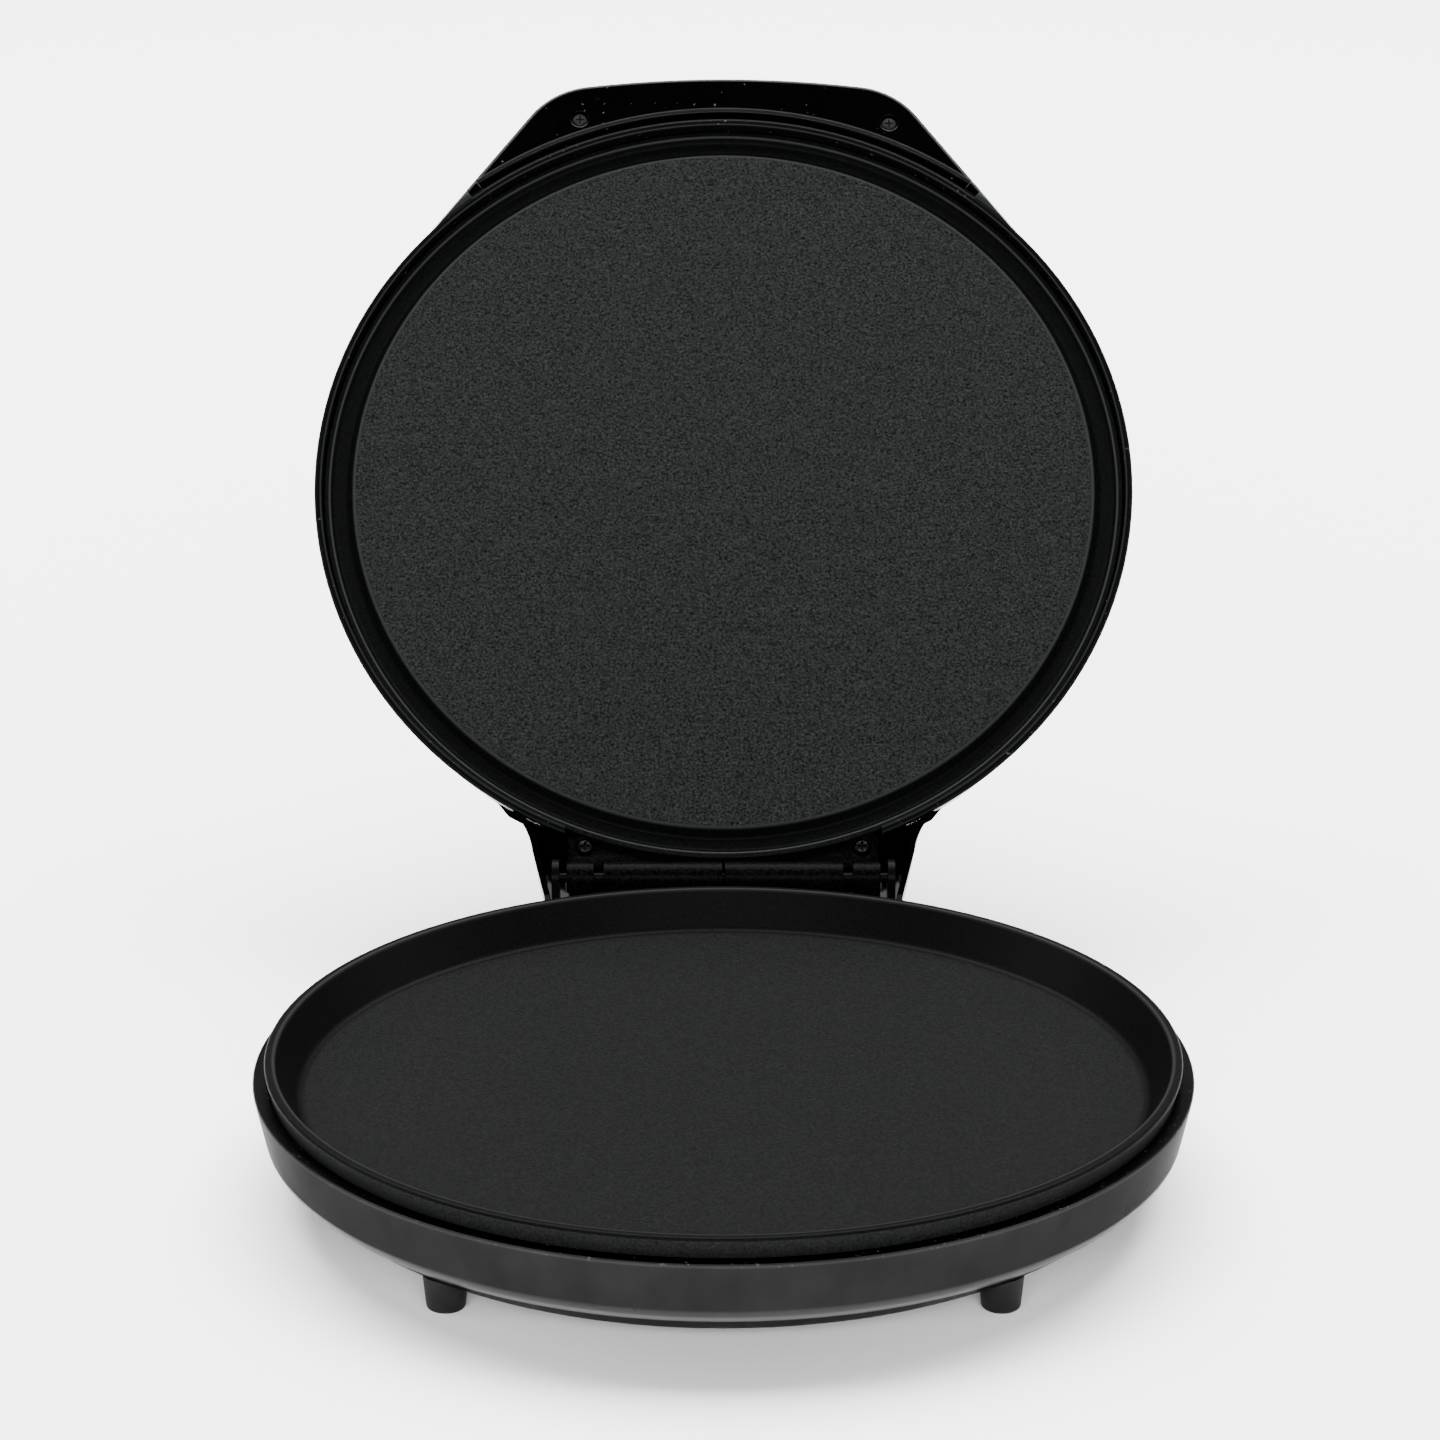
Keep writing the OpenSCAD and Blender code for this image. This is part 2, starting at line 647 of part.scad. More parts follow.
// Thermostat and fuse clamped against the underside of the pan, and the terminal block
stat_y = 20;
stat_cap_r = 8.5;
stat_cap_h = 3;
stat_body_r = 6.8;
stat_body_h = 7;
stat_flange = 26;
stat_flange_w = 9;
tab_w = 6.3;
tab_h = 4;
module thermostat() {
    color(ceramic) in_frame() translate([0, stat_y, pan_under_z]) mirror([0, 0, 1]) {
        cylinder(r = stat_cap_r, h = stat_cap_h);
        cylinder(r = stat_body_r, h = stat_cap_h + stat_body_h);
        translate([-stat_flange / 2, -stat_flange_w / 2, 0]) cube([stat_flange, stat_flange_w, sheet_t]);
        for (s = [-1, 1])
            translate([s * stat_body_r / 2 - sheet_t / 2, -tab_w / 2, stat_cap_h + stat_body_h - past])
                cube([sheet_t, tab_w, past + tab_h]);
    }
}
fuse_r = 2.8;
fuse_len = 22;
fuse_x = 48;
fuse_lead_r = 0.6;
fuse_lead = 8;
module thermal_fuse() {
    color(ceramic) in_frame() translate([fuse_x, -stat_y, pan_under_z - fuse_r - seat_gap]) {
        rotate([0, 90, 0]) cylinder(r = fuse_r, h = fuse_len, center = true);
        rotate([0, 90, 0]) cylinder(r = fuse_lead_r, h = fuse_len + 2 * fuse_lead, center = true);
    }
}
terminal_w = 32;
terminal_d = 17;
terminal_gap = 1.7;
terminal_h = reflector_z - sheet_t - foot_h - wall - terminal_gap;
terminal_inset = 26;
terminal_y = post_ring_r - terminal_inset;
terminal_pitch = 10;
terminal_screw_r = 2.4;
terminal_hole_r = terminal_h / 4.4;
terminal_round = 2;
module terminal_block() {
    color(ceramic) in_frame() translate([0, terminal_y, foot_h + wall]) difference() {
        translate([-terminal_w / 2, -terminal_d / 2, 0]) linear_extrude(terminal_h) polygon(rounded([
            [0, 0, terminal_round], [terminal_w, 0, terminal_round],
            [terminal_w, terminal_d, terminal_round], [0, terminal_d, terminal_round]
        ]));
        for (s = [-1, 0, 1]) translate([s * terminal_pitch, 0, 0]) {
            translate([0, 0, terminal_h / 2]) cylinder(r = terminal_screw_r, h = terminal_h);
            translate([0, 0, terminal_h / 3]) rotate([90, 0, 0])
                cylinder(r = terminal_hole_r, h = 2 * terminal_d, center = true);
        }
    }
}

// Bush in the block's back wall: its bore is where a lead enters
bush_r = 6.5;
inlet_z = block_roof_z - wall - bush_r - inlet_drop;
bush_flange_r = 8.5;
bush_flange_t = 2;
bush_round = 0.8;
module cord_inlet_bush() {
    color(rubber_black) in_frame() translate([0, block_y + bush_flange_t, inlet_z]) rotate([90, 0, 0])
        rotate_extrude() polygon(rounded([
            [inlet_r, 0, 0], [bush_flange_r, 0, bush_round], [bush_flange_r, bush_flange_t, 0],
            [bush_r, bush_flange_t, 0], [bush_r, inlet_len, bush_round], [inlet_r, inlet_len, 0]
        ]));
}

// Feet: tapered round pads, each with a screw up its middle
foot_recess_r = screw_head_r + screw_clear;
foot_recess_d = 4;
foot_edge_r = 1.6;
module foot(h) {
    rotate_extrude() polygon(rounded([
        [foot_recess_r, 0, 0], [foot_tip_r, 0, foot_edge_r], [foot_r, h, 0], [screw_r + screw_clear, h, 0],
        [screw_r + screw_clear, foot_recess_d, 0], [foot_recess_r, foot_recess_d, 0]
    ]));
}
module front_foot(s) {
    color(rubber_black) in_frame() difference() {
        translate([s * front_foot_x, -front_foot_y, 0]) foot(foot_h + foot_boss_h / 2);
        base_solid(seat_gap);
    }
}
module rear_foot(s) {
    color(rubber_black) in_frame()
        translate([s * rear_foot_x, hinge_y + rear_foot_back, 0]) foot(block_floor_z);
}
module front_left_foot() {
    front_foot(-1);
}
module front_right_foot() {
    front_foot(1);
}
module rear_left_foot() {
    rear_foot(-1);
}
module rear_right_foot() {
    rear_foot(1);
}
foot_screw_len = 10;
module foot_screws() {
    color(dark_steel) in_frame() for (s = [-1, 1]) {
        translate([s * front_foot_x, -front_foot_y, foot_recess_d]) mirror([0, 0, 1]) screw(foot_screw_len);
        translate([s * rear_foot_x, hinge_y + rear_foot_back, foot_recess_d]) mirror([0, 0, 1])
            screw(foot_screw_len);
    }
}

// Outline of the round lid with its handle, drawn in by an inset
function handle_outline(inset) = concat(
    arc([0, handle_crown_y], handle_crown_r - inset, -90 - handle_crown_half, -90 + handle_crown_half, 12),
    arc([handle_corner_x, -handle_corner_y], handle_corner_r - inset,
        -90 + handle_crown_half, -handle_angle, 10),
    arc([0, 0], housing_r - inset, -handle_angle, 180 + handle_angle, 40),
    arc([-handle_corner_x, -handle_corner_y], handle_corner_r - inset,
        180 + handle_angle, 270 - handle_crown_half, 10)
);
layer_t = 0.02;
module layered(layers, inset, drop) {
    hull() for (layer = layers) translate([0, 0, lid_z + layer[0] - drop])
        linear_extrude(layer_t) polygon(handle_outline(layer[1] + inset));
}
wedge_gap = 0.1;
module handle_wedge(spread) {
    reach = 2 * housing_r;
    linear_extrude(3 * base_h) polygon([
        [0, 0], [-reach * sin(handle_half_angle + spread), -reach * cos(handle_half_angle + spread)],
        [0, -2 * reach],
        [reach * sin(handle_half_angle + spread), -reach * cos(handle_half_angle + spread)]
    ]);
}
// Places of the handle's screws: [across, distance in front of the round outline]
handle_screw_places = [[-62.6, 0.9], [72.1, -1]];
handle_boss_r = 6;
handle_screw_len = 8;
module at_handle_screws() {
    for (place = handle_screw_places)
        translate([place[0], -housing_r - place[1], lid_z + handle_rise]) children();
}
module lid_handle() {
    color(gloss_black) on_lid() intersection() {
        difference() {
            union() {
                difference() {
                    layered(handle_layers, 0, 0);
                    layered(handle_layers, wall, wall / 2);
                }
                intersection() {
                    layered(handle_layers, wall / 2, 0);
                    at_handle_screws() translate([0, 0, handle_cover_t + seam_gap])
                        cylinder(r = handle_boss_r, h = lid_depth);
                }
            }
            lid_solid(seat_gap);
            translate([0, 0, lid_z - past]) cylinder(r = housing_r + seat_gap, h = lid_side_h / 2);
            at_handle_screws() cylinder(r = screw_r + thread_gap, h = handle_cover_t + handle_screw_len);
        }
        handle_wedge(0);
    }
}
pocket_lip = 0.8;
pocket_end_angle = 2;
module pocket_ring(r, w, half_angle, d) {
    rotate(-90 - half_angle) rotate_extrude(angle = 2 * half_angle)
        translate([r, lid_z + handle_rise - past]) square([w, d + past]);
}
module lid_handle_cover() {
    color(gloss_black) on_lid() intersection() {
        difference() {
            layered(cover_layers, 0, 0);
            translate([0, 0, lid_z - past]) cylinder(r = housing_r + seat_gap, h = lid_side_h);
            pocket_ring(housing_r + pocket_lip, pocket_w, handle_half_angle - pocket_end_angle, pocket_d);
            at_handle_screws() translate([0, 0, -past])
                cylinder(r = screw_r + screw_clear, h = handle_cover_t + 2 * past);
            at_handle_screws() translate([0, 0, -past])
                cylinder(r = screw_head_r + screw_clear, h = past + recess_d);
        }
        handle_wedge(-wedge_gap);
    }
}
module handle_screws() {
    color(dark_steel) on_lid() at_handle_screws() translate([0, 0, recess_d]) mirror([0, 0, 1])
        screw(handle_screw_len);
}

// Lid shell: round bowl, recess for the plate, shoulders that run out to the handle
upper_r = housing_r - lid_lip_w - upper_gap;
upper_z = lid_z + upper_recess;
lens_x = 14;
lens_inset = 44;
lens_y = lens_inset - housing_r;
lens_r = 4;
lens_h = 9;
lens_proud = 0.8;
lid_top_r = housing_r - belly_run;
lens_top_z = lid_z + lid_depth + lens_proud + lid_crown * (1 - norm([lens_x, lens_y]) / lid_top_r);
shoulder_layers = concat([[0, cover_layers[0][1]], cover_layers[3]], handle_layers);
shoulder_end_y = housing_r / 3;
module lid_shoulders() {
    difference() {
        layered(shoulder_layers, 0, 0);
        handle_wedge(wedge_gap);
        translate([0, 0, lid_z - past]) cylinder(r = housing_r - lid_lip_w, h = 2 * lid_depth);
        translate([-2 * housing_r, -shoulder_end_y, 0]) cube([4 * housing_r, 2 * housing_r, 3 * base_h]);
        lid_solid(-wall / 2);
    }
}
lid_ledge_w = 3;
module lid_ledge() {
    inner = housing_r - lid_lip_w;
    low = upper_z + plate_t;
    high = low + ledge_t;
    outer = housing_r - wall / 2 - side_draft * (high - lid_z) / lid_side_h;
    rotate_extrude() polygon([
        [inner, lid_z], [housing_r - past, lid_z], [outer, high],
        [inner - lid_ledge_w, high], [inner - lid_ledge_w, low], [inner, low]
    ]);
}
module lid_housing() {
    color(housing_grey) on_lid() difference() {
        union() {
            difference() {
                lid_solid(0);
                lid_solid(-wall);
                translate([0, 0, lid_z - past])
                    cylinder(r = housing_r - lid_lip_w, h = upper_recess + plate_t + past);
            }
            lid_ledge();
            lid_shoulders();
            for (s = [-1, 1]) lid_casting_boss(s);
            for (s = [-1, 1]) lamp_boss(s);
        }
        for (s = [-1, 1]) translate([s * lens_x, lens_y, lid_z + lid_depth / 2])
            cylinder(r = lens_r + seat_gap, h = lid_depth);
        rear_notch();
        for (s = [-1, 1]) casting_screw_bore(s, screw_r + thread_gap, casting_screw_len + leaf_t);
    }
}
// The lip is cut away at the back, where the casting's leaf reaches out to the pin
lid_leaf_z = upper_z + plate_t + seat_gap;
lid_leaf_reach = 19;
lid_leaf_y = housing_r - lid_leaf_reach;
notch_h = lid_leaf_z + leaf_t + seat_gap - lid_z;
module rear_notch() {
    translate([-casting_half - knuckle_gap, lid_leaf_y - seat_gap, lid_z - past])
        cube([2 * casting_half + 2 * knuckle_gap, housing_r, notch_h + past]);
}
lamp_boss_x = 30;
lamp_boss_r = 4;
module lamp_boss(s) {
    intersection() {
        translate([s * lamp_boss_x, lens_y, lens_top_z - lens_h]) cylinder(r = lamp_boss_r, h = lid_depth);
        lid_solid(-wall / 2);
    }
}
casting_screw_inset = 7;
casting_screw_x = casting_half - casting_screw_inset;
casting_screw_ring = upper_r + screw_head_r + seat_gap;
casting_screw_y = sqrt(pow(casting_screw_ring, 2) - pow(casting_screw_x, 2));
casting_screw_len = 9;
casting_boss_r = 5.5;
countersink = 0.6;
module casting_screw_bore(s, r, len) {
    translate([s * casting_screw_x, casting_screw_y, lid_leaf_z - past]) cylinder(r = r, h = len + past);
}
module lid_casting_boss(s) {
    intersection() {
        translate([s * casting_screw_x, casting_screw_y, lid_leaf_z + leaf_t + seat_gap])
            cylinder(r = casting_boss_r, h = lid_depth);
        lid_solid(-wall / 2);
    }
}

leaf_front_r = upper_r - upper_rim_w - seat_gap;
web_run = 1.6;

// Lid casting: flat leaf under the upper plate's rim, stepping down to the barrels
module lid_hinge_casting() {
    color(cast_black) on_lid() difference() {
        union() {
            hinge_barrels(1, 0);
            translate([-casting_half, lid_leaf_y, lid_leaf_z])
                cube([2 * casting_half, hinge_y - barrel_r - lid_leaf_y, leaf_t]);
            lid_web();
        }
        pin_bore();
        hinge_barrels(-1, swing_gap);
        translate([0, 0, lid_leaf_z - past]) cylinder(r = leaf_front_r, h = leaf_t + 2 * past);
        for (s = [-1, 1]) casting_screw_bore(s, screw_r + screw_clear, leaf_t + past);
        for (s = [-1, 1]) translate([s * casting_screw_x, casting_screw_y, lid_leaf_z - past])
            cylinder(r = screw_head_r + screw_clear, h = past + countersink);
    }
}
module lid_web() {
    profile = [
        [hinge_y - barrel_r - web_run, lid_leaf_z], [hinge_y - barrel_r, hinge_z],
        [hinge_y, hinge_z + barrel_r], [hinge_y - barrel_r, lid_leaf_z + leaf_t],
        [hinge_y - barrel_r - web_run, lid_leaf_z + leaf_t]
    ];
    translate([knuckle_gap / 2, 0, 0]) rotate([90, 0, 90]) linear_extrude(long_barrel) polygon(profile);
    translate([-casting_half, 0, 0]) rotate([90, 0, 90]) linear_extrude(short_knuckle) polygon(profile);
}
module lid_hinge_screws() {
    color(dark_steel) on_lid() for (s = [-1, 1])
        translate([s * casting_screw_x, casting_screw_y, lid_leaf_z + countersink]) mirror([0, 0, 1])
            screw(casting_screw_len);
}

// Hinge cover: its top slopes down from the lid and rounds over the hinge axis
function cover_top(r, front) = concat(
    [[front, hinge_z + (r + (hinge_y - front) * sin(cover_slope)) / cos(cover_slope)]],
    arc([hinge_y, hinge_z], r, 90 - cover_slope, cover_end_angle, 8)
);
sweep_centre = let (
        line = cover_half * cos(cover_taper) + hinge_y * sin(cover_taper) + cover_sweep_r,
        reach = housing_r + cover_sweep_r,
        a = asin(line / reach) - cover_taper
    ) reach * [sin(a), cos(a)];
// Between the two sweeps the cover is bounded by straight sides that start where the sweeps end
blunt_tip = 4;
module sweep_cone(r, h) {
    cylinder(r1 = r, r2 = r + h * tan(cover_sweep_draft), h = h);
}
module cover_plan(inset, h) {
    start = sweep_centre - (cover_sweep_r + inset) * unit(sweep_centre) + [0, blunt_tip];
    end = sweep_centre - (cover_sweep_r + inset) * [cos(cover_taper), sin(cover_taper)];
    tail_y = hinge_y + 2 * cover_r;
    tail_x = cover_half - inset - (tail_y - hinge_y) * tan(cover_taper);
    difference() {
        linear_extrude(h) polygon([
            [start[0], start[1]], [sweep_centre[0], end[1]], [end[0], end[1]], [tail_x, tail_y],
            [-tail_x, tail_y], [-end[0], end[1]], [-sweep_centre[0], end[1]], [-start[0], start[1]]
        ]);
        for (s = [-1, 1]) translate([s * sweep_centre[0], sweep_centre[1], lid_z - past])
            sweep_cone(cover_sweep_r + inset, lid_depth + past);
    }
    // In front of the sweeps the cover stays flush with the lid's side, and closes down on its belly
    intersection() {
        cylinder(r = housing_r - side_draft - seat_gap - inset, h = h);
        translate([-housing_r, cover_front_y - 2 * past, 0])
            cube([2 * housing_r, start[1] - cover_front_y + 3 * past, h]);
    }
}
// The cover's sides run on past the pin, and its back is open under the round
cover_tail = 8;
module cover_extrude(profile) {
    rotate([90, 0, 90]) linear_extrude(4 * cover_half, center = true) polygon(profile);
}
module cover_outside() {
    intersection() {
        cover_extrude(concat(
            cover_top(cover_r, cover_front_y), [[hinge_y + cover_tail, lid_z], [cover_front_y, lid_z]]
        ));
        cover_plan(0, 3 * base_h);
    }
}
module cover_inside() {
    front = cover_front_y - past;
    beyond = [hinge_y, hinge_z] + 2 * cover_r * [cos(cover_end_angle), sin(cover_end_angle)];
    intersection() {
        cover_extrude(concat(
            cover_top(cover_r - wall, front),
            [beyond, [beyond[0], lid_z - past], [front, lid_z - past]]
        ));
        cover_plan(wall, 3 * base_h);
    }
}
module lid_hinge_cover() {
    color(gloss_black) on_lid() difference() {
        cover_outside();
        cover_inside();
        lid_solid(seat_gap);
        translate([0, 0, lid_z - past]) cylinder(r = housing_r + seat_gap, h = lid_side_h / 2);
    }
}

// Upper plate: rim, channel and cooking face, with posts for its reflector
upper_reflector_gap = 11;
upper_dish_rise = 7;
channel_slope = 3;
channel_round = 2;
upper_reflector_screw_len = 8;
upper_back_z = upper_z - face_proud + plate_t;
module upper_plate() {
    face_z = upper_z - face_proud;
    rim_r = upper_r - upper_rim_w;
    face_r = rim_r - channel_w;
    deep_z = upper_z + channel_d;
    color(plate_black) on_lid() difference() {
        union() {
            rotate_extrude() polygon(rounded([
                [0, face_z, 0], [face_r, face_z, channel_round / 2],
                [face_r + channel_slope, deep_z, channel_round],
                [rim_r - channel_slope / 2, deep_z, channel_round], [rim_r, upper_z, rim_inner_round],
                [upper_r, upper_z, rim_inner_round / 2], [upper_r, upper_z + plate_t, 0],
                [rim_r - seat_gap, upper_z + plate_t, 0],
                [rim_r - channel_slope / 2, deep_z + plate_t, channel_round / 2],
                [face_r + plate_t, deep_z + plate_t, channel_round / 2],
                [face_r - plate_t, upper_back_z, channel_round / 2], [0, upper_back_z, 0]
            ]));
            for (a = post_angles) rotate(a) translate([post_ring_r, 0, upper_back_z - plate_t / 2])
                cylinder(r = post_r, h = upper_reflector_gap + plate_t / 2);
        }
        for (a = post_angles) rotate(a) translate([post_ring_r, 0, upper_back_z + past])
            screw_hole(upper_reflector_gap);
    }
}
module upper_element() {
    color(dark_steel) on_lid() translate([0, 0, upper_back_z + element_r + seat_gap]) element_loop();
}
module upper_element_clips() {
    color(steel) on_lid() translate([0, 0, upper_back_z + element_r + seat_gap])
        mirror([0, 0, 1]) element_clips();
}
module upper_reflector() {
    color(steel) on_lid() translate([0, 0, upper_back_z + upper_reflector_gap])
        mirror([0, 0, 1]) reflector_dish(upper_dish_rise);
}
module upper_reflector_screws() {
    color(dark_steel) on_lid() for (a = post_angles)
        rotate(a) translate([post_ring_r, 0, upper_back_z + upper_reflector_gap + sheet_t])
            screw(upper_reflector_screw_len);
}

// Indicator lenses in the lid's top and the holder behind them
lens_flange_w = 1.5;
lens_flange_t = 1.5;
lens_round = 1.5;
module light_lens(s, tint) {
    color(tint) on_lid() translate([s * lens_x, lens_y, lens_top_z - lens_h])
        rotate_extrude() polygon(rounded([
            [0, 0, 0], [lens_r + lens_flange_w, 0, 0], [lens_r + lens_flange_w, lens_flange_t, 0],
            [lens_r, lens_flange_t, 0], [lens_r, lens_h, lens_round], [0, lens_h, 0]
        ]));
}
module power_light_lens() {
    light_lens(-1, red_lens);
}
module ready_light_lens() {
    light_lens(1, green_lens);
}
holder_t = 2;
holder_w = 12;
lamp_r = 3;
lamp_h = 4;
module lamp_holder() {
    color(ceramic) on_lid() translate([0, lens_y, lens_top_z - lens_h - holder_t]) {
        linear_extrude(holder_t) slot(2 * lamp_boss_x + holder_w, holder_w);
        for (s = [-1, 1]) translate([s * lens_x, 0, -lamp_h]) cylinder(r = lamp_r, h = lamp_h + holder_t / 2);
    }
}

base_housing();
base_hinge_block();
base_hinge_casting();
base_hinge_screws();
hinge_pin();
lower_plate();
lower_element();
lower_element_clips();
lower_reflector();
base_screws();
thermostat();
thermal_fuse();
terminal_block();
cord_inlet_bush();
front_left_foot();
front_right_foot();
rear_left_foot();
rear_right_foot();
foot_screws();
lid_housing();
lid_handle();
lid_handle_cover();
handle_screws();
lid_hinge_cover();
lid_hinge_casting();
lid_hinge_screws();
upper_plate();
upper_element();
upper_element_clips();
upper_reflector();
upper_reflector_screws();
power_light_lens();
ready_light_lens();
lamp_holder();
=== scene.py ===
import bmesh, bpy, json, math
from mathutils import Matrix, Vector


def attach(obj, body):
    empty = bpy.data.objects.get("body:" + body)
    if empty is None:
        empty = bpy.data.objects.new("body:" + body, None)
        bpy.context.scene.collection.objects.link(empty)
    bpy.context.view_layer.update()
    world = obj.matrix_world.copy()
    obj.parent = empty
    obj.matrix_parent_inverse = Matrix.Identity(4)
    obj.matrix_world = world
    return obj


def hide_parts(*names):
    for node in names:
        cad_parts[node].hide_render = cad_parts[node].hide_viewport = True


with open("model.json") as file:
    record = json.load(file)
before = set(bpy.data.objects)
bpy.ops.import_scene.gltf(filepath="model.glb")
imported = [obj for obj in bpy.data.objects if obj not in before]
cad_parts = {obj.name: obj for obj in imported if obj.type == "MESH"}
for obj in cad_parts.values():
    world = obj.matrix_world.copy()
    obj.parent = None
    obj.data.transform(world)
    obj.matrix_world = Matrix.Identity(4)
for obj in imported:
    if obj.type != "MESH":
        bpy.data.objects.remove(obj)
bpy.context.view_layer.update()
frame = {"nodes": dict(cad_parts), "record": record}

# Camera: at the photograph's viewing angle, far back with a long lens and level from side to side.
# The optical axis passes a little right of and below the middle of the square frame, which the shift gives.
frame_px = 1440
camera_px = 4317.7
axis_px = (723.5, 738.8)
camera_tilt = math.radians(90 - 18.39)
view_data = bpy.data.cameras.new("photo_view")
view_data.sensor_width = 36.0
view_data.lens = view_data.sensor_width * camera_px / frame_px
view_data.shift_x = (frame_px / 2 - axis_px[0]) / frame_px
view_data.shift_y = (axis_px[1] - frame_px / 2) / frame_px
view_data.clip_end = 50.0
view = bpy.data.objects.new("photo_view", view_data)
view.location = (0.0, -1.59272, 0.6579)
view.rotation_euler = (camera_tilt, 0.0, 0.0)
bpy.context.scene.collection.objects.link(view)
bpy.context.scene.camera = view

# Studio: a plain white floor in a room whose ceiling stays dark, so that glossy black stays black.
# A very broad soft light hangs high behind the appliance. Soft panels stand at both sides and in front.
floor_half = 9.0
paper = bpy.data.materials.new("white_paper")
paper.use_nodes = True
paper_shader = paper.node_tree.nodes["Principled BSDF"]
paper_shader.inputs["Base Color"].default_value = (0.96, 0.96, 0.96, 1.0)
paper_shader.inputs["Roughness"].default_value = 0.9
paper_shader.inputs["Specular IOR Level"].default_value = 0.0
floor_shape = bmesh.new()
bmesh.ops.create_grid(floor_shape, x_segments=1, y_segments=1, size=floor_half)
floor_mesh = bpy.data.meshes.new("floor")
floor_shape.to_mesh(floor_mesh)
floor_shape.free()
floor = bpy.data.objects.new("floor", floor_mesh)
floor_mesh.materials.append(paper)
bpy.context.scene.collection.objects.link(floor)


def soft_light(name, place, aim, width, depth, power):
    lamp = bpy.data.lights.new(name, "AREA")
    lamp.shape = "RECTANGLE"
    lamp.size = width
    lamp.size_y = depth
    lamp.energy = power
    light = bpy.data.objects.new(name, lamp)
    light.location = place
    light.rotation_euler = (Vector(aim) - Vector(place)).to_track_quat("-Z", "Y").to_euler()
    bpy.context.scene.collection.objects.link(light)


soft_light("top_light", (0.0, 1.9, 4.2), (0.0, 1.2, 0.0), 6.0, 4.4, 1500)
soft_light("left_panel", (-3.4, 0.2, 1.1), (0.0, 0.0, 0.15), 1.6, 1.6, 70)
soft_light("right_panel", (3.4, 0.2, 1.1), (0.0, 0.0, 0.15), 1.6, 1.6, 50)
soft_light("front_fill", (0.0, -4.6, 2.1), (0.0, 0.0, 0.0), 5.0, 1.2, 420)
room = bpy.data.worlds.new("studio")
bpy.context.scene.world = room
room.use_nodes = True
room_nodes = room.node_tree.nodes
direction = room_nodes.new("ShaderNodeTexCoord")
height = room_nodes.new("ShaderNodeSeparateXYZ")
ceiling = room_nodes.new("ShaderNodeValToRGB")
ceiling.color_ramp.elements[0].position = 0.05
ceiling.color_ramp.elements[0].color = (1.0, 1.0, 1.0, 1.0)
ceiling.color_ramp.elements[1].position = 0.55
ceiling.color_ramp.elements[1].color = (0.03, 0.03, 0.03, 1.0)
room.node_tree.links.new(direction.outputs["Generated"], height.inputs[0])
room.node_tree.links.new(height.outputs["Z"], ceiling.inputs["Fac"])
room.node_tree.links.new(ceiling.outputs["Color"], room_nodes["Background"].inputs["Color"])
room_nodes["Background"].inputs["Strength"].default_value = 0.9


# Base housing: one round bowl moulded in black plastic and left with a satin skin.
# It has a flat lip round the pan, a side wall that draws in, and a belly that slopes under to the feet.
def finish(name, colour, roughness, metal=0.0, specular=0.5):
    made = bpy.data.materials.new(name)
    made.use_nodes = True
    shader = made.node_tree.nodes["Principled BSDF"]
    shader.inputs["Base Color"].default_value = (*colour, 1.0)
    shader.inputs["Roughness"].default_value = roughness
    shader.inputs["Metallic"].default_value = metal
    shader.inputs["Specular IOR Level"].default_value = specular
    return made


def add_node(made, kind, **values):
    added = made.node_tree.nodes.new(kind)
    for name, value in values.items():
        added.inputs[name.replace("_", " ")].default_value = value
    return added


def join(made, output, socket):
    made.node_tree.links.new(output, socket)


def drive(made, quality, pattern):
    join(made, pattern, made.node_tree.nodes["Principled BSDF"].inputs[quality])


def on_surface(made):
    return add_node(made, "ShaderNodeTexCoord").outputs["Object"]


def noise(made, scale, detail=2.0):
    pattern = add_node(made, "ShaderNodeTexNoise", Scale=scale, Detail=detail)
    join(made, on_surface(made), pattern.inputs["Vector"])
    return pattern.outputs["Fac"]


def combine(made, operation, first, second):
    both = add_node(made, "ShaderNodeMath")
    both.operation = operation
    join(made, first, both.inputs[0])
    join(made, second, both.inputs[1])
    return both.outputs["Value"]


# Grain is a bump of a given depth in metres, and ease is the small radius that moulded corners have
def grain(made, pattern, depth, ease=0.0):
    bump = add_node(made, "ShaderNodeBump", Strength=1.0, Distance=depth)
    join(made, pattern, bump.inputs["Height"])
    if ease:
        corner = add_node(made, "ShaderNodeBevel", Radius=ease)
        corner.samples = 6
        join(made, corner.outputs["Normal"], bump.inputs["Normal"])
    drive(made, "Normal", bump.outputs["Normal"])


def vary(made, pattern, low, high, from_low=0.3, from_high=0.7):
    spread = add_node(made, "ShaderNodeMapRange", From_Min=from_low, From_Max=from_high,
                      To_Min=low, To_Max=high)
    join(made, pattern, spread.inputs["Value"])
    return spread.outputs["Result"]


def tint(made, pattern, dark, light, from_low=0.3, from_high=0.7):
    ramp = add_node(made, "ShaderNodeValToRGB")
    ramp.color_ramp.elements[0].position = from_low
    ramp.color_ramp.elements[0].color = (*dark, 1.0)
    ramp.color_ramp.elements[1].position = from_high
    ramp.color_ramp.elements[1].color = (*light, 1.0)
    join(made, pattern, ramp.inputs["Fac"])
    drive(made, "Base Color", ramp.outputs["Color"])


# Dust is where a fine noise is at its rare peaks
def dust(made, rarity, spread, most=1.0):
    return vary(made, noise(made, 620.0, 1.0), 0.0, most, rarity, rarity + spread)


def dress(made, *nodes):
    for node in nodes:
        mesh = frame["nodes"][node].data
        mesh.materials.clear()
        mesh.materials.append(made)


def part_of(made, place, axis):
    parts = add_node(made, "ShaderNodeSeparateXYZ")
    join(made, place, parts.inputs[0])
    return parts.outputs[axis]


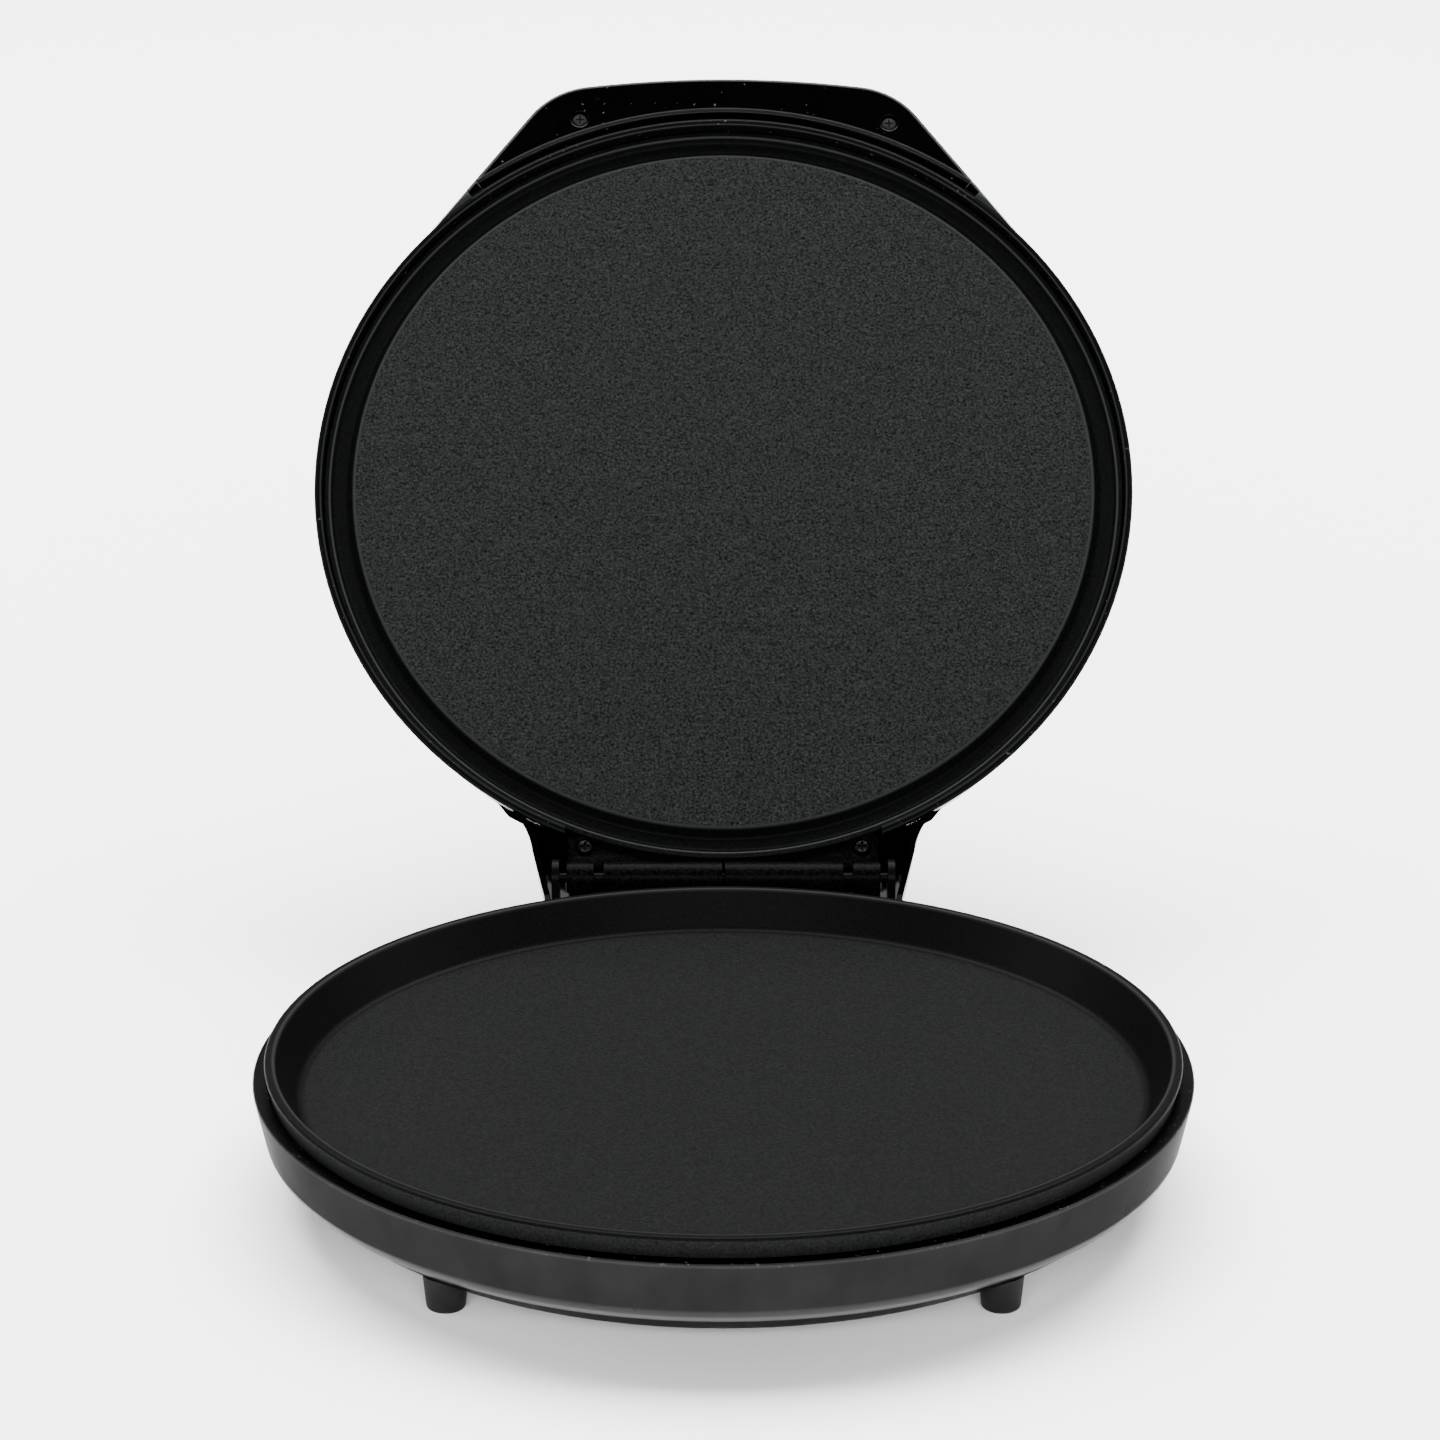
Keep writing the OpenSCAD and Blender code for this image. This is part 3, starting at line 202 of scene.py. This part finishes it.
# Bands give amounts at distances in metres, and beyond the first and last distance nothing changes
def banded(made, distance, bands, start=0.0):
    reach = bands[-1][0] - start
    scale = add_node(made, "ShaderNodeValToRGB")
    while len(scale.color_ramp.elements) < len(bands):
        scale.color_ramp.elements.new(0.5)
    for stop, (where, amount) in zip(scale.color_ramp.elements, bands):
        stop.position = (where - start) / reach
        stop.color = (amount, amount, amount, 1.0)
    join(made, vary(made, distance, 0.0, 1.0, start, start + reach), scale.inputs["Fac"])
    return scale.outputs["Color"]


# Wall colour by height: a painted highlight along the lip's rounded outer edge, painted shade on the flat lip
# top, and painted shade under the belly. The specks along the lip edge are dust.
painted_wall_light_and_shade = [(0.0198, 0.08), (0.0234, 0.34), (0.04356, 0.34), (0.04392, 0.6), (0.04455, 0.6), (0.04491, 0.0),
              (0.045, 0.0)]
wall_gloss = [(0.01935, 0.002), (0.0207, 0.6), (0.023175, 0.6), (0.02655, 0.002), (0.044325, 0.002),
              (0.04491, 0.03), (0.045, 0.03)]
lip_dust = [(0.043425, 0.0), (0.0441, 1.0), (0.045, 1.0)]
satin_plastic = finish("satin_black_plastic", (0.009, 0.009, 0.0092), 0.3)
level = part_of(satin_plastic, on_surface(satin_plastic), "Z")
specks = combine(satin_plastic, "MULTIPLY", dust(satin_plastic, 0.70, 0.06),
                 banded(satin_plastic, level, lip_dust))
wall_painted_light_and_dust = combine(satin_plastic, "ADD", banded(satin_plastic, level, painted_wall_light_and_shade), specks)
cloud = vary(satin_plastic, noise(satin_plastic, 60.0, 4.0), 0.85, 1.15)
tint(satin_plastic, combine(satin_plastic, "MULTIPLY", wall_painted_light_and_dust, cloud),
     (0.0, 0.0, 0.0), (0.036, 0.036, 0.037), 0.0, 1.0)
drive(satin_plastic, "Specular IOR Level", banded(satin_plastic, level, wall_gloss))
drive(satin_plastic, "Roughness", vary(satin_plastic, noise(satin_plastic, 35.0, 5.0), 0.26, 0.34))
grain(satin_plastic, noise(satin_plastic, 1400.0, 2.0), 0.00001, 0.0004)
dress(satin_plastic, "base_housing")

# Rear block: a moulding in dull black plastic, screwed on behind the base.
# Its two ears hold the hinge pin, and its back wall stops the open lid.
block_plastic = finish("dull_black_plastic", (0.0015, 0.0015, 0.0015), 0.3, specular=0.015)
tint(block_plastic, noise(block_plastic, 80.0, 4.0), (0.001, 0.001, 0.001), (0.002, 0.002, 0.002))
grain(block_plastic, noise(block_plastic, 1400.0, 2.0), 0.00001, 0.0005)
dress(block_plastic, "base_hinge_block")

# Feet and cord bush: soft black rubber mouldings with a fine matt skin.
# Each foot is held by one screw up its middle, and the bush is pressed into the block's back wall.
rubber = finish("black_rubber", (0.006, 0.006, 0.006), 0.55, specular=0.15)
tint(rubber, noise(rubber, 180.0, 4.0), (0.0035, 0.0035, 0.0035), (0.008, 0.008, 0.008))
grain(rubber, noise(rubber, 2600.0, 2.0), 0.00003)
dress(rubber, "front_left_foot", "front_right_foot", "rear_left_foot", "rear_right_foot", "cord_inlet_bush")

# Screws: pan heads with a cross recess, headed from steel wire and blackened, or coated grey in the handle.
# They hold the feet, the base, both hinge castings, the upper reflector and the handle's lower half.
head_r = 0.0036
shank_r = 0.00165
cross_r = 0.0019
cross_half = 0.00045
cross_depth = 0.0013
cross_taper = 0.6
merge_gap = 0.000001
tip_profile = [(0.0, 0.0), (shank_r - 0.0004, 0.0), (shank_r, 0.0006)]
head_profile = [(shank_r, 0.0), (head_r - 0.0002, 0.0), (head_r, 0.0002), (head_r - 0.0003, 0.0011),
                (head_r - 0.0010, 0.0018), (head_r - 0.0015, 0.0021)]
black_zinc = finish("black_zinc_steel", (0.03, 0.03, 0.031), 0.38, metal=1.0)
tint(black_zinc, noise(black_zinc, 900.0, 5.0), (0.004, 0.004, 0.004), (0.018, 0.018, 0.019), 0.35, 0.8)
grain(black_zinc, noise(black_zinc, 3000.0, 2.0), 0.00001)

# The base's own axis stands in front of the hinge, and the lid is drawn shut and turned open
smooth_below = math.radians(35)
hinge = Vector(frame["record"]["behaviour"]["joints"][0]["pos_m"])
hinge_back = 0.178
open_turn = math.radians(-130.0)
base_place = Matrix.Translation((0.0, hinge.y - hinge_back, 0.0))
lid_place = (Matrix.Translation(hinge) @ Matrix.Rotation(open_turn, 4, "X") @ Matrix.Translation(-hinge)
             @ base_place)


def link_piece(name, shape, made, slot, body, *stood_for):
    mesh = bpy.data.meshes.new(name)
    bmesh.ops.recalc_face_normals(shape, faces=shape.faces)
    shape.to_mesh(mesh)
    shape.free()
    # Normals that a copied mesh still holds belong to its loose triangles
    stored_normals = mesh.attributes.get("custom_normal")
    if stored_normals:
        mesh.attributes.remove(stored_normals)
    mesh.polygons.foreach_set("use_smooth", [True] * len(mesh.polygons))
    mesh.set_sharp_from_angle(angle=smooth_below)
    mesh.materials.append(made)
    piece = bpy.data.objects.new(name, mesh)
    bpy.context.scene.collection.objects.link(piece)
    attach(piece, body)
    if stood_for:
        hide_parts(*stood_for)
    return piece


# One screw points its head along +Z from its seat at the origin, and is then put in its place
def add_screw(shape, length, place):
    own = bmesh.new()
    profile = [(radius, z - length) for radius, z in tip_profile] + head_profile
    line = [own.verts.new((radius, 0.0, z)) for radius, z in profile]
    edges = [own.edges.new(pair) for pair in zip(line, line[1:])]
    bmesh.ops.spin(own, geom=line + edges, cent=(0, 0, 0), axis=(0, 0, 1), angle=2 * math.pi, steps=24,
                   use_merge=True)
    bmesh.ops.remove_doubles(own, verts=own.verts, dist=merge_gap)
    rim = [edge for edge in own.edges if edge.is_boundary]
    top = max(vert.co.z for vert in own.verts)
    recess = bmesh.ops.create_grid(own, x_segments=3, y_segments=3, size=1.0)["verts"]
    for vert in recess:
        reach = [math.copysign(cross_r if abs(side) > 0.5 else cross_half, side) for side in vert.co.xy]
        vert.co = (reach[0], reach[1], top)
    faces = list({face for vert in recess for face in vert.link_faces})
    arms = [face for face in faces if min(abs(face.calc_center_median().x), abs(face.calc_center_median().y))
            < cross_half]
    bmesh.ops.delete(own, geom=[face for face in faces if face not in arms], context="FACES")
    mouth = [edge for face in arms for edge in face.edges if edge.is_boundary]
    sunk = bmesh.ops.extrude_edge_only(own, edges=mouth)["geom"]
    low = [item for item in sunk if isinstance(item, bmesh.types.BMVert)]
    for vert in low:
        vert.co = (vert.co.x * cross_taper, vert.co.y * cross_taper, top - cross_depth)
    bmesh.ops.delete(own, geom=arms, context="FACES")
    floor_edges = [item for item in sunk if isinstance(item, bmesh.types.BMEdge)
                   and all(abs(vert.co.z - top + cross_depth) < merge_gap * 10 for vert in item.verts)]
    bmesh.ops.contextual_create(own, geom=floor_edges)
    bmesh.ops.bridge_loops(own, edges=rim + mouth)
    bmesh.ops.recalc_face_normals(own, faces=own.faces)
    bmesh.ops.transform(own, matrix=place, verts=own.verts)
    loose = bpy.data.meshes.new("one_screw")
    own.to_mesh(loose)
    own.free()
    shape.from_mesh(loose)
    bpy.data.meshes.remove(loose)


def place_screws(name, node, body, carrier, seats, turn, length, coat=black_zinc):
    shape = bmesh.new()
    for seat in seats:
        add_screw(shape, length, carrier @ Matrix.Translation(seat) @ turn)
    link_piece(name, shape, coat, "screw_steel", body, node)


upright = Matrix.Identity(4)
head_down = Matrix.Rotation(math.pi, 4, "X")
head_back = Matrix.Rotation(-math.pi / 2, 4, "X")
sides = (-1, 1)
foot_ring = 0.146
foot_turn = math.radians(41.1)
front_foot = (foot_ring * math.sin(foot_turn), -foot_ring * math.cos(foot_turn))
rear_foot = (0.056, 0.184)
foot_seat_z = 0.004
base_seat_z = 0.0106
reflector_seat_z = 0.0683
base_leaf_seat = (0.055, 0.176, 0.0397)
lid_leaf_seat = (0.0565, 0.16256, 0.0588)
handle_seats = [(-0.0626, -0.1729, 0.0546), (0.0721, -0.171, 0.0546)]
foot_screw_length = 0.010
base_screw_length = 0.0204
base_leaf_length = 0.010
lid_leaf_length = 0.009
handle_screw_length = 0.008
reflector_screw_length = 0.008
post_ring = 0.130
post_angles = [math.radians(30), math.radians(150), math.radians(270)]
posts = [(post_ring * math.cos(angle), post_ring * math.sin(angle)) for angle in post_angles]
place_screws("foot_cross_screws", "foot_screws", "base", base_place,
             [(side * x, y, foot_seat_z) for x, y in (front_foot, rear_foot) for side in sides],
             head_down, foot_screw_length)
place_screws("base_cross_screws", "base_screws", "base", base_place,
             [(x, y, base_seat_z) for x, y in posts], head_down, base_screw_length)
place_screws("base_leaf_screws", "base_hinge_screws", "base", base_place,
             [(side * base_leaf_seat[0], *base_leaf_seat[1:]) for side in sides],
             head_back, base_leaf_length)
place_screws("lid_leaf_screws", "lid_hinge_screws", "lid", lid_place,
             [(side * lid_leaf_seat[0], *lid_leaf_seat[1:]) for side in sides],
             head_down, lid_leaf_length)
phosphate = finish("grey_phosphate_coat", (0.010, 0.0105, 0.0105), 0.6, specular=0.02)
tint(phosphate, noise(phosphate, 500.0, 4.0), (0.007, 0.0075, 0.0075), (0.016, 0.0165, 0.0165))
grain(phosphate, noise(phosphate, 2400.0, 2.0), 0.00002)
place_screws("handle_cross_screws", "handle_screws", "lid", lid_place,
             handle_seats, head_down, handle_screw_length, phosphate)
place_screws("reflector_cross_screws", "upper_reflector_screws", "lid", lid_place,
             [(x, y, reflector_seat_z) for x, y in posts], upright, reflector_screw_length)

# Reflectors and clips: thin bright sheet, rolled and pressed.
# The sheet throws the heat back at the plates, and the clips press the elements to them.
bright_sheet = finish("rolled_bright_sheet", (0.62, 0.62, 0.63), 0.3, metal=1.0)
rolled = add_node(bright_sheet, "ShaderNodeMapping", Scale=(6.0, 900.0, 900.0))
join(bright_sheet, on_surface(bright_sheet), rolled.inputs["Vector"])
streaks = add_node(bright_sheet, "ShaderNodeTexNoise", Scale=1.0, Detail=3.0)
join(bright_sheet, rolled.outputs["Vector"], streaks.inputs["Vector"])
drive(bright_sheet, "Roughness", vary(bright_sheet, streaks.outputs["Fac"], 0.24, 0.42))
grain(bright_sheet, streaks.outputs["Fac"], 0.00001)
dress(bright_sheet, "lower_reflector", "upper_reflector", "lower_element_clips", "upper_element_clips")

# Heating elements: steel sheaths filled with packed powder, bent into an open ring.
# Firing has left the sheath dull and grey-brown, with paler patches.
sheath = finish("fired_element_sheath", (0.08, 0.075, 0.07), 0.6, metal=0.8)
tint(sheath, noise(sheath, 240.0, 5.0), (0.045, 0.042, 0.040), (0.14, 0.125, 0.11))
grain(sheath, noise(sheath, 2200.0, 2.0), 0.00003)
dress(sheath, "lower_element", "upper_element")

# Thermostat, fuse and terminal block: pressed white ceramic, faintly speckled.
# They are clamped under the pan and screwed to the base's floor. The lamp holder is cream plastic.
ceramic = finish("white_ceramic", (0.78, 0.76, 0.70), 0.55)
tint(ceramic, noise(ceramic, 700.0, 4.0), (0.66, 0.63, 0.56), (0.84, 0.82, 0.77), 0.3, 0.6)
grain(ceramic, noise(ceramic, 1500.0, 3.0), 0.00004)
dress(ceramic, "thermostat", "thermal_fuse", "terminal_block")
cream_plastic = finish("cream_plastic", (0.70, 0.66, 0.55), 0.45)
tint(cream_plastic, noise(cream_plastic, 90.0, 3.0), (0.64, 0.60, 0.49), (0.74, 0.70, 0.60))
grain(cream_plastic, noise(cream_plastic, 1800.0, 2.0), 0.00002)
dress(cream_plastic, "lamp_holder")


# Lower plate: a pan cast in aluminium and sprayed with a charcoal non-stick coat.
# The coat is fine and pebbled on the floor, and smoother on the sloping wall, the rim and the skirt.
def seen_from(made, centre, turn):
    placed = add_node(made, "ShaderNodeMapping", Location=centre, Rotation=(turn, 0.0, 0.0))
    placed.vector_type = "TEXTURE"
    join(made, on_surface(made), placed.inputs["Vector"])
    return placed.outputs["Vector"]


def radius_of(made, place):
    flat = add_node(made, "ShaderNodeVectorMath")
    flat.operation = "MULTIPLY"
    flat.inputs[1].default_value = (1.0, 1.0, 0.0)
    join(made, place, flat.inputs[0])
    length = add_node(made, "ShaderNodeVectorMath")
    length.operation = "LENGTH"
    join(made, flat.outputs["Vector"], length.inputs[0])
    return length.outputs["Value"]


# Bands say how light and how pebbled each ring is, and the edge bands are painted highlights along its
# rounded edges.
# A flank is what lies outside a radius and under a height, with the painted light that makes it lighter.
def coated_plate(name, centre, turn, bands, painted_highlight_lines, contrast, dark, light, pebble_depth, flank=None):
    coat = finish(name, light, 0.45, specular=0.012)
    place = seen_from(coat, centre, turn)
    radius = radius_of(coat, place)
    amount = banded(coat, radius, bands)
    if flank:
        flank_r, flank_top, painted_lightness = flank
        outside = vary(coat, radius, 0.0, 1.0, flank_r - edge_blur, flank_r + edge_blur)
        under = vary(coat, part_of(coat, place, "Z"), 1.0, 0.0, flank_top - edge_blur, flank_top + edge_blur)
        # The flank is painted lighter: painted light.
        side = vary(coat, combine(coat, "MULTIPLY", outside, under), 0.0, painted_lightness, 0.0, 1.0)
        amount = combine(coat, "MAXIMUM", amount, side)
    pebbles = add_node(coat, "ShaderNodeTexVoronoi", Scale=950.0)
    pebbles.feature = "SMOOTH_F1"
    join(coat, on_surface(coat), pebbles.inputs["Vector"])
    fine = noise(coat, 1500.0, 3.0)
    relief = combine(coat, "MULTIPLY", combine(coat, "ADD", pebbles.outputs["Distance"], fine), amount)
    grain(coat, relief, pebble_depth, 0.0004)
    tones_and_painted_highlights = combine(coat, "MULTIPLY", vary(coat, noise(coat, 1000.0, 4.0), 0.0, 1.0, *contrast), amount)
    # Painted highlights along the rounded edges are laid over the coat's tones.
    tones_and_painted_highlights = combine(coat, "MAXIMUM", tones_and_painted_highlights, banded(coat, radius, painted_highlight_lines))
    tint(coat, tones_and_painted_highlights, dark, light, 0.0, 1.0)
    drive(coat, "Roughness", vary(coat, amount, 0.4, 0.5, 0.0, 1.0))
    return coat


edge_blur = 0.0002
# The pan's coat has a painted highlight along the rim's inner rounded edge, and its skirt is painted lighter
# as painted light.
pan_bands = [(0.1530, 0.2), (0.1542, 0.07), (0.1634, 0.07), (0.1648, 0.06), (0.1720, 0.06)]
pan_painted_highlights = [(0.1634, 0.0), (0.1639, 0.3), (0.1645, 0.3), (0.1650, 0.0), (0.1720, 0.0)]
lower_coat = coated_plate("charcoal_coat_lower", base_place.translation, 0.0, pan_bands, pan_painted_highlights,
                          (0.1, 0.9), (0.0008, 0.0009, 0.0008), (0.034, 0.0365, 0.0353), 0.00014,
                          flank=(0.1655, 0.0515, 0.4))
dress(lower_coat, "lower_plate")


# Hinge castings: two die-cast leaves with interleaved barrels, their corners eased and powder coated black.
# The coat has a fine orange-peel skin. The pin through them is blackened steel.
def merged_copy(node):
    shape = bmesh.new()
    shape.from_mesh(frame["nodes"][node].data)
    bmesh.ops.remove_doubles(shape, verts=shape.verts, dist=merge_gap * 2)
    return shape


def eased_copy(node, ease):
    shape = merged_copy(node)
    bmesh.ops.dissolve_limit(shape, angle_limit=flat_below, verts=shape.verts, edges=shape.edges)
    corners = [edge for edge in shape.edges if edge.is_manifold and edge.calc_face_angle() > corner_above]
    bmesh.ops.bevel(shape, geom=corners, offset=ease, offset_type="OFFSET", segments=2, profile=0.5,
                    affect="EDGES", material=-1, clamp_overlap=True)
    return shape


flat_below = math.radians(1)
corner_above = math.radians(40)
casting_ease = 0.0005
powder_coat = finish("black_powder_coat", (0.0015, 0.0015, 0.0015), 0.32, specular=0.009)
tint(powder_coat, noise(powder_coat, 900.0, 3.0), (0.0003, 0.0003, 0.0003), (0.0026, 0.0026, 0.0024),
     0.4, 0.75)
grain(powder_coat, noise(powder_coat, 900.0, 2.0), 0.00012)
link_piece("base_hinge_leaf", eased_copy("base_hinge_casting", casting_ease), powder_coat, "cast_black",
           "base", "base_hinge_casting")
link_piece("lid_hinge_leaf", eased_copy("lid_hinge_casting", casting_ease), powder_coat, "cast_black",
           "lid", "lid_hinge_casting")
dark_steel = finish("blackened_steel", (0.0025, 0.0025, 0.0025), 0.25, specular=0.012)
drive(dark_steel, "Roughness", vary(dark_steel, noise(dark_steel, 800.0, 4.0), 0.2, 0.4))
grain(dark_steel, noise(dark_steel, 2500.0, 2.0), 0.000005)
dress(dark_steel, "hinge_pin")

# Lid housing: the same black plastic as the base, moulded as a shallow bowl and polished.
# Its shoulders run out at the front and carry the handle, and its top is gently domed.
lid_lip_z = 0.0505
# Near the lip the lid's colour holds painted highlights along the lip's rounded edges and a painted
# reflection that makes the shoulders lighter. The specks are dust.
lip_painted_highlights_and_sheen = [(0.1690, 0.04), (0.1693, 0.3), (0.1696, 0.3), (0.1699, 0.04), (0.1710, 0.04), (0.1713, 0.14),
             (0.1716, 0.14), (0.1719, 0.04), (0.1725, 0.3), (0.1740, 0.3), (0.1746, 0.8), (0.1750, 0.8)]
lid_plastic = finish("polished_black_plastic", (0.002, 0.002, 0.002), 0.16, specular=0.08)
lip_centre = lid_place @ Vector((0.0, 0.0, lid_lip_z))
from_lip = seen_from(lid_plastic, lip_centre, open_turn)
lid_radius = radius_of(lid_plastic, from_lip)
lid_height = part_of(lid_plastic, from_lip, "Z")
lid_painted_light = banded(lid_plastic, lid_radius, lip_painted_highlights_and_sheen, 0.165)
near_lip = vary(lid_plastic, lid_height, 1.0, 0.06, 0.002, 0.012)
lid_painted_light_and_dust = combine(lid_plastic, "ADD", combine(lid_plastic, "MULTIPLY", lid_painted_light, near_lip),
                   dust(lid_plastic, 0.73, 0.04))
tint(lid_plastic, lid_painted_light_and_dust, (0.0004, 0.0004, 0.0004), (0.030, 0.0325, 0.0325), 0.0, 1.0)
off_lip = vary(lid_plastic, lid_height, 0.0, 1.0, 0.010, 0.014)
off_edge = vary(lid_plastic, lid_radius, 1.0, 0.15, 0.1640, 0.1655)
drive(lid_plastic, "Specular IOR Level",
      vary(lid_plastic, combine(lid_plastic, "MAXIMUM", off_lip, off_edge), 0.0, 0.08, 0.0, 1.0))
drive(lid_plastic, "Roughness", vary(lid_plastic, noise(lid_plastic, 45.0, 6.0), 0.12, 0.2))
grain(lid_plastic, noise(lid_plastic, 500.0, 3.0), 0.000008, 0.0006)
shell = merged_copy("lid_housing")
bmesh.ops.transform(shell, matrix=lid_place.inverted(), verts=shell.verts)
crown_r = 0.1245
crown_rise = 0.00255
crown_low = 0.0824
for vert in shell.verts:
    part = vert.co.xy.length / crown_r
    if part < 1.0 and vert.co.z > crown_low:
        vert.co.z += crown_rise * part * (1.0 - part)
bmesh.ops.transform(shell, matrix=lid_place, verts=shell.verts)
link_piece("lid_shell", shell, lid_plastic, "gloss_black", "lid", "lid_housing")

# Upper plate: cast aluminium with the same charcoal coat, screwed into the lid's recess.
# Its raised cooking face is pebbled, and the channel round it is smooth and darker.
cooking_face_z = 0.0555
upper_centre = lid_place @ Vector((0.0, 0.0, cooking_face_z))
plate_bands = [(0.1550, 0.5), (0.1562, 0.06), (0.1655, 0.06), (0.1662, 0.1), (0.1720, 0.1)]
# Painted highlights run along the cooking face's rounded edge and along the rim's inner edge.
plate_painted_highlights = [(0.1549, 0.0), (0.1553, 0.42), (0.1558, 0.42), (0.1562, 0.0), (0.1654, 0.0), (0.1657, 0.5),
               (0.1661, 0.5), (0.1665, 0.0), (0.1720, 0.0)]
upper_coat = coated_plate("charcoal_coat_upper", upper_centre, open_turn, plate_bands, plate_painted_highlights,
                          (0.31, 0.83), (0.0010, 0.0011, 0.0011), (0.0365, 0.0392, 0.0386), 0.0004)
dress(upper_coat, "upper_plate")

# Handle: two glossy black mouldings, the lower one screwed up into the upper one.
# The lower one has a shallow curved pocket beside the lid's lip.
# The pocket's two rounded edges carry painted highlights in the cover's colour. The specks are dust.
pocket_painted_highlights = [(0.1723, 0.0), (0.1727, 0.1), (0.1731, 0.1), (0.1735, 0.0), (0.1776, 0.0), (0.1779, 0.5),
                (0.1783, 0.5), (0.1786, 0.0), (0.1800, 0.0)]


def gloss_black(name):
    made = finish(name, (0.0004, 0.0004, 0.0004), 0.08, specular=0.07)
    drive(made, "Roughness", vary(made, noise(made, 45.0, 6.0), 0.06, 0.13))
    grain(made, noise(made, 220.0, 3.0), 0.000006, 0.0005)
    return made


gloss_plastic = gloss_black("gloss_black_plastic")
film = vary(gloss_plastic, noise(gloss_plastic, 60.0, 4.0), 0.0, 0.4)
tone = add_node(gloss_plastic, "ShaderNodeValToRGB")
tone.color_ramp.elements[0].color = (0.0003, 0.0003, 0.0003, 1.0)
tone.color_ramp.elements[1].position = 1.0
tone.color_ramp.elements[1].color = (0.10, 0.10, 0.10, 1.0)
tone.color_ramp.elements.new(0.4).color = (0.0006, 0.0006, 0.0005, 1.0)
dusty_film = combine(gloss_plastic, "ADD", film, dust(gloss_plastic, 0.77, 0.04, 0.6))
join(gloss_plastic, dusty_film, tone.inputs["Fac"])
drive(gloss_plastic, "Base Color", tone.outputs["Color"])
dress(gloss_plastic, "lid_handle")
cover_plastic = gloss_black("gloss_black_cover_plastic")
cover_radius = radius_of(cover_plastic, seen_from(cover_plastic, lip_centre, open_turn))
cover_painted_highlights = banded(cover_plastic, cover_radius, pocket_painted_highlights, 0.170)
tint(cover_plastic, combine(cover_plastic, "ADD", cover_painted_highlights, dust(cover_plastic, 0.76, 0.04)),
     (0.0004, 0.0004, 0.0004), (0.036, 0.037, 0.036), 0.0, 1.0)
drive(cover_plastic, "Specular IOR Level", vary(cover_plastic, cover_radius, 0.01, 0.07, 0.1740, 0.1750))
dress(cover_plastic, "lid_handle_cover")

# Hinge cover: a glossy black neck that wraps round the hinge.
# It is fixed to the lid and swings with it, clear of the rear block's ears.
# Its front tips run out flat on the lid's belly.
neck_front = 0.1503
tip_reach = 0.090
tip_height = 0.0008
belly_r = 0.1677
belly_rise = 0.018
belly_slope = 0.755
neck = merged_copy("lid_hinge_cover")
bmesh.ops.transform(neck, matrix=lid_place.inverted(), verts=neck.verts)
whole_neck = neck.verts[:] + neck.edges[:] + neck.faces[:]
bmesh.ops.bisect_plane(neck, geom=whole_neck, plane_co=(0.0, neck_front, 0.0), plane_no=(0.0, 1.0, 0.0))
for vert in neck.verts:
    if vert.co.y < neck_front - 0.0001 and abs(vert.co.x) > tip_reach:
        belly_z = lid_lip_z + belly_rise + (belly_r - vert.co.xy.length) * belly_slope
        vert.co.z = min(vert.co.z, belly_z + tip_height)
bmesh.ops.transform(neck, matrix=lid_place, verts=neck.verts)
neck_plastic = finish("gloss_black_neck_plastic", (0.0005, 0.0005, 0.0005), 0.1)
behind_lip = part_of(neck_plastic, seen_from(neck_plastic, lip_centre, open_turn), "Y")
drive(neck_plastic, "Specular IOR Level", vary(neck_plastic, behind_lip, 0.0, 0.06, 0.158, 0.172))
tint(neck_plastic, noise(neck_plastic, 60.0, 4.0), (0.0003, 0.0003, 0.0003), (0.0007, 0.0007, 0.0007))
grain(neck_plastic, noise(neck_plastic, 220.0, 3.0), 0.000006, 0.0005)
link_piece("lid_neck", neck, neck_plastic, "gloss_black", "lid", "lid_hinge_cover")


# Indicator lenses: a red one for power and a green one for ready.
# They are moulded in clear tinted plastic and pushed into the lid's top from behind.
def lens(name, colour):
    made = finish(name, colour, 0.12)
    shader = made.node_tree.nodes["Principled BSDF"]
    shader.inputs["Transmission Weight"].default_value = 0.4
    shader.inputs["IOR"].default_value = 1.49
    grain(made, noise(made, 600.0, 2.0), 0.00003)
    return made


dress(lens("red_lens_plastic", (0.55, 0.02, 0.012)), "power_light_lens")
dress(lens("green_lens_plastic", (0.02, 0.38, 0.08)), "ready_light_lens")
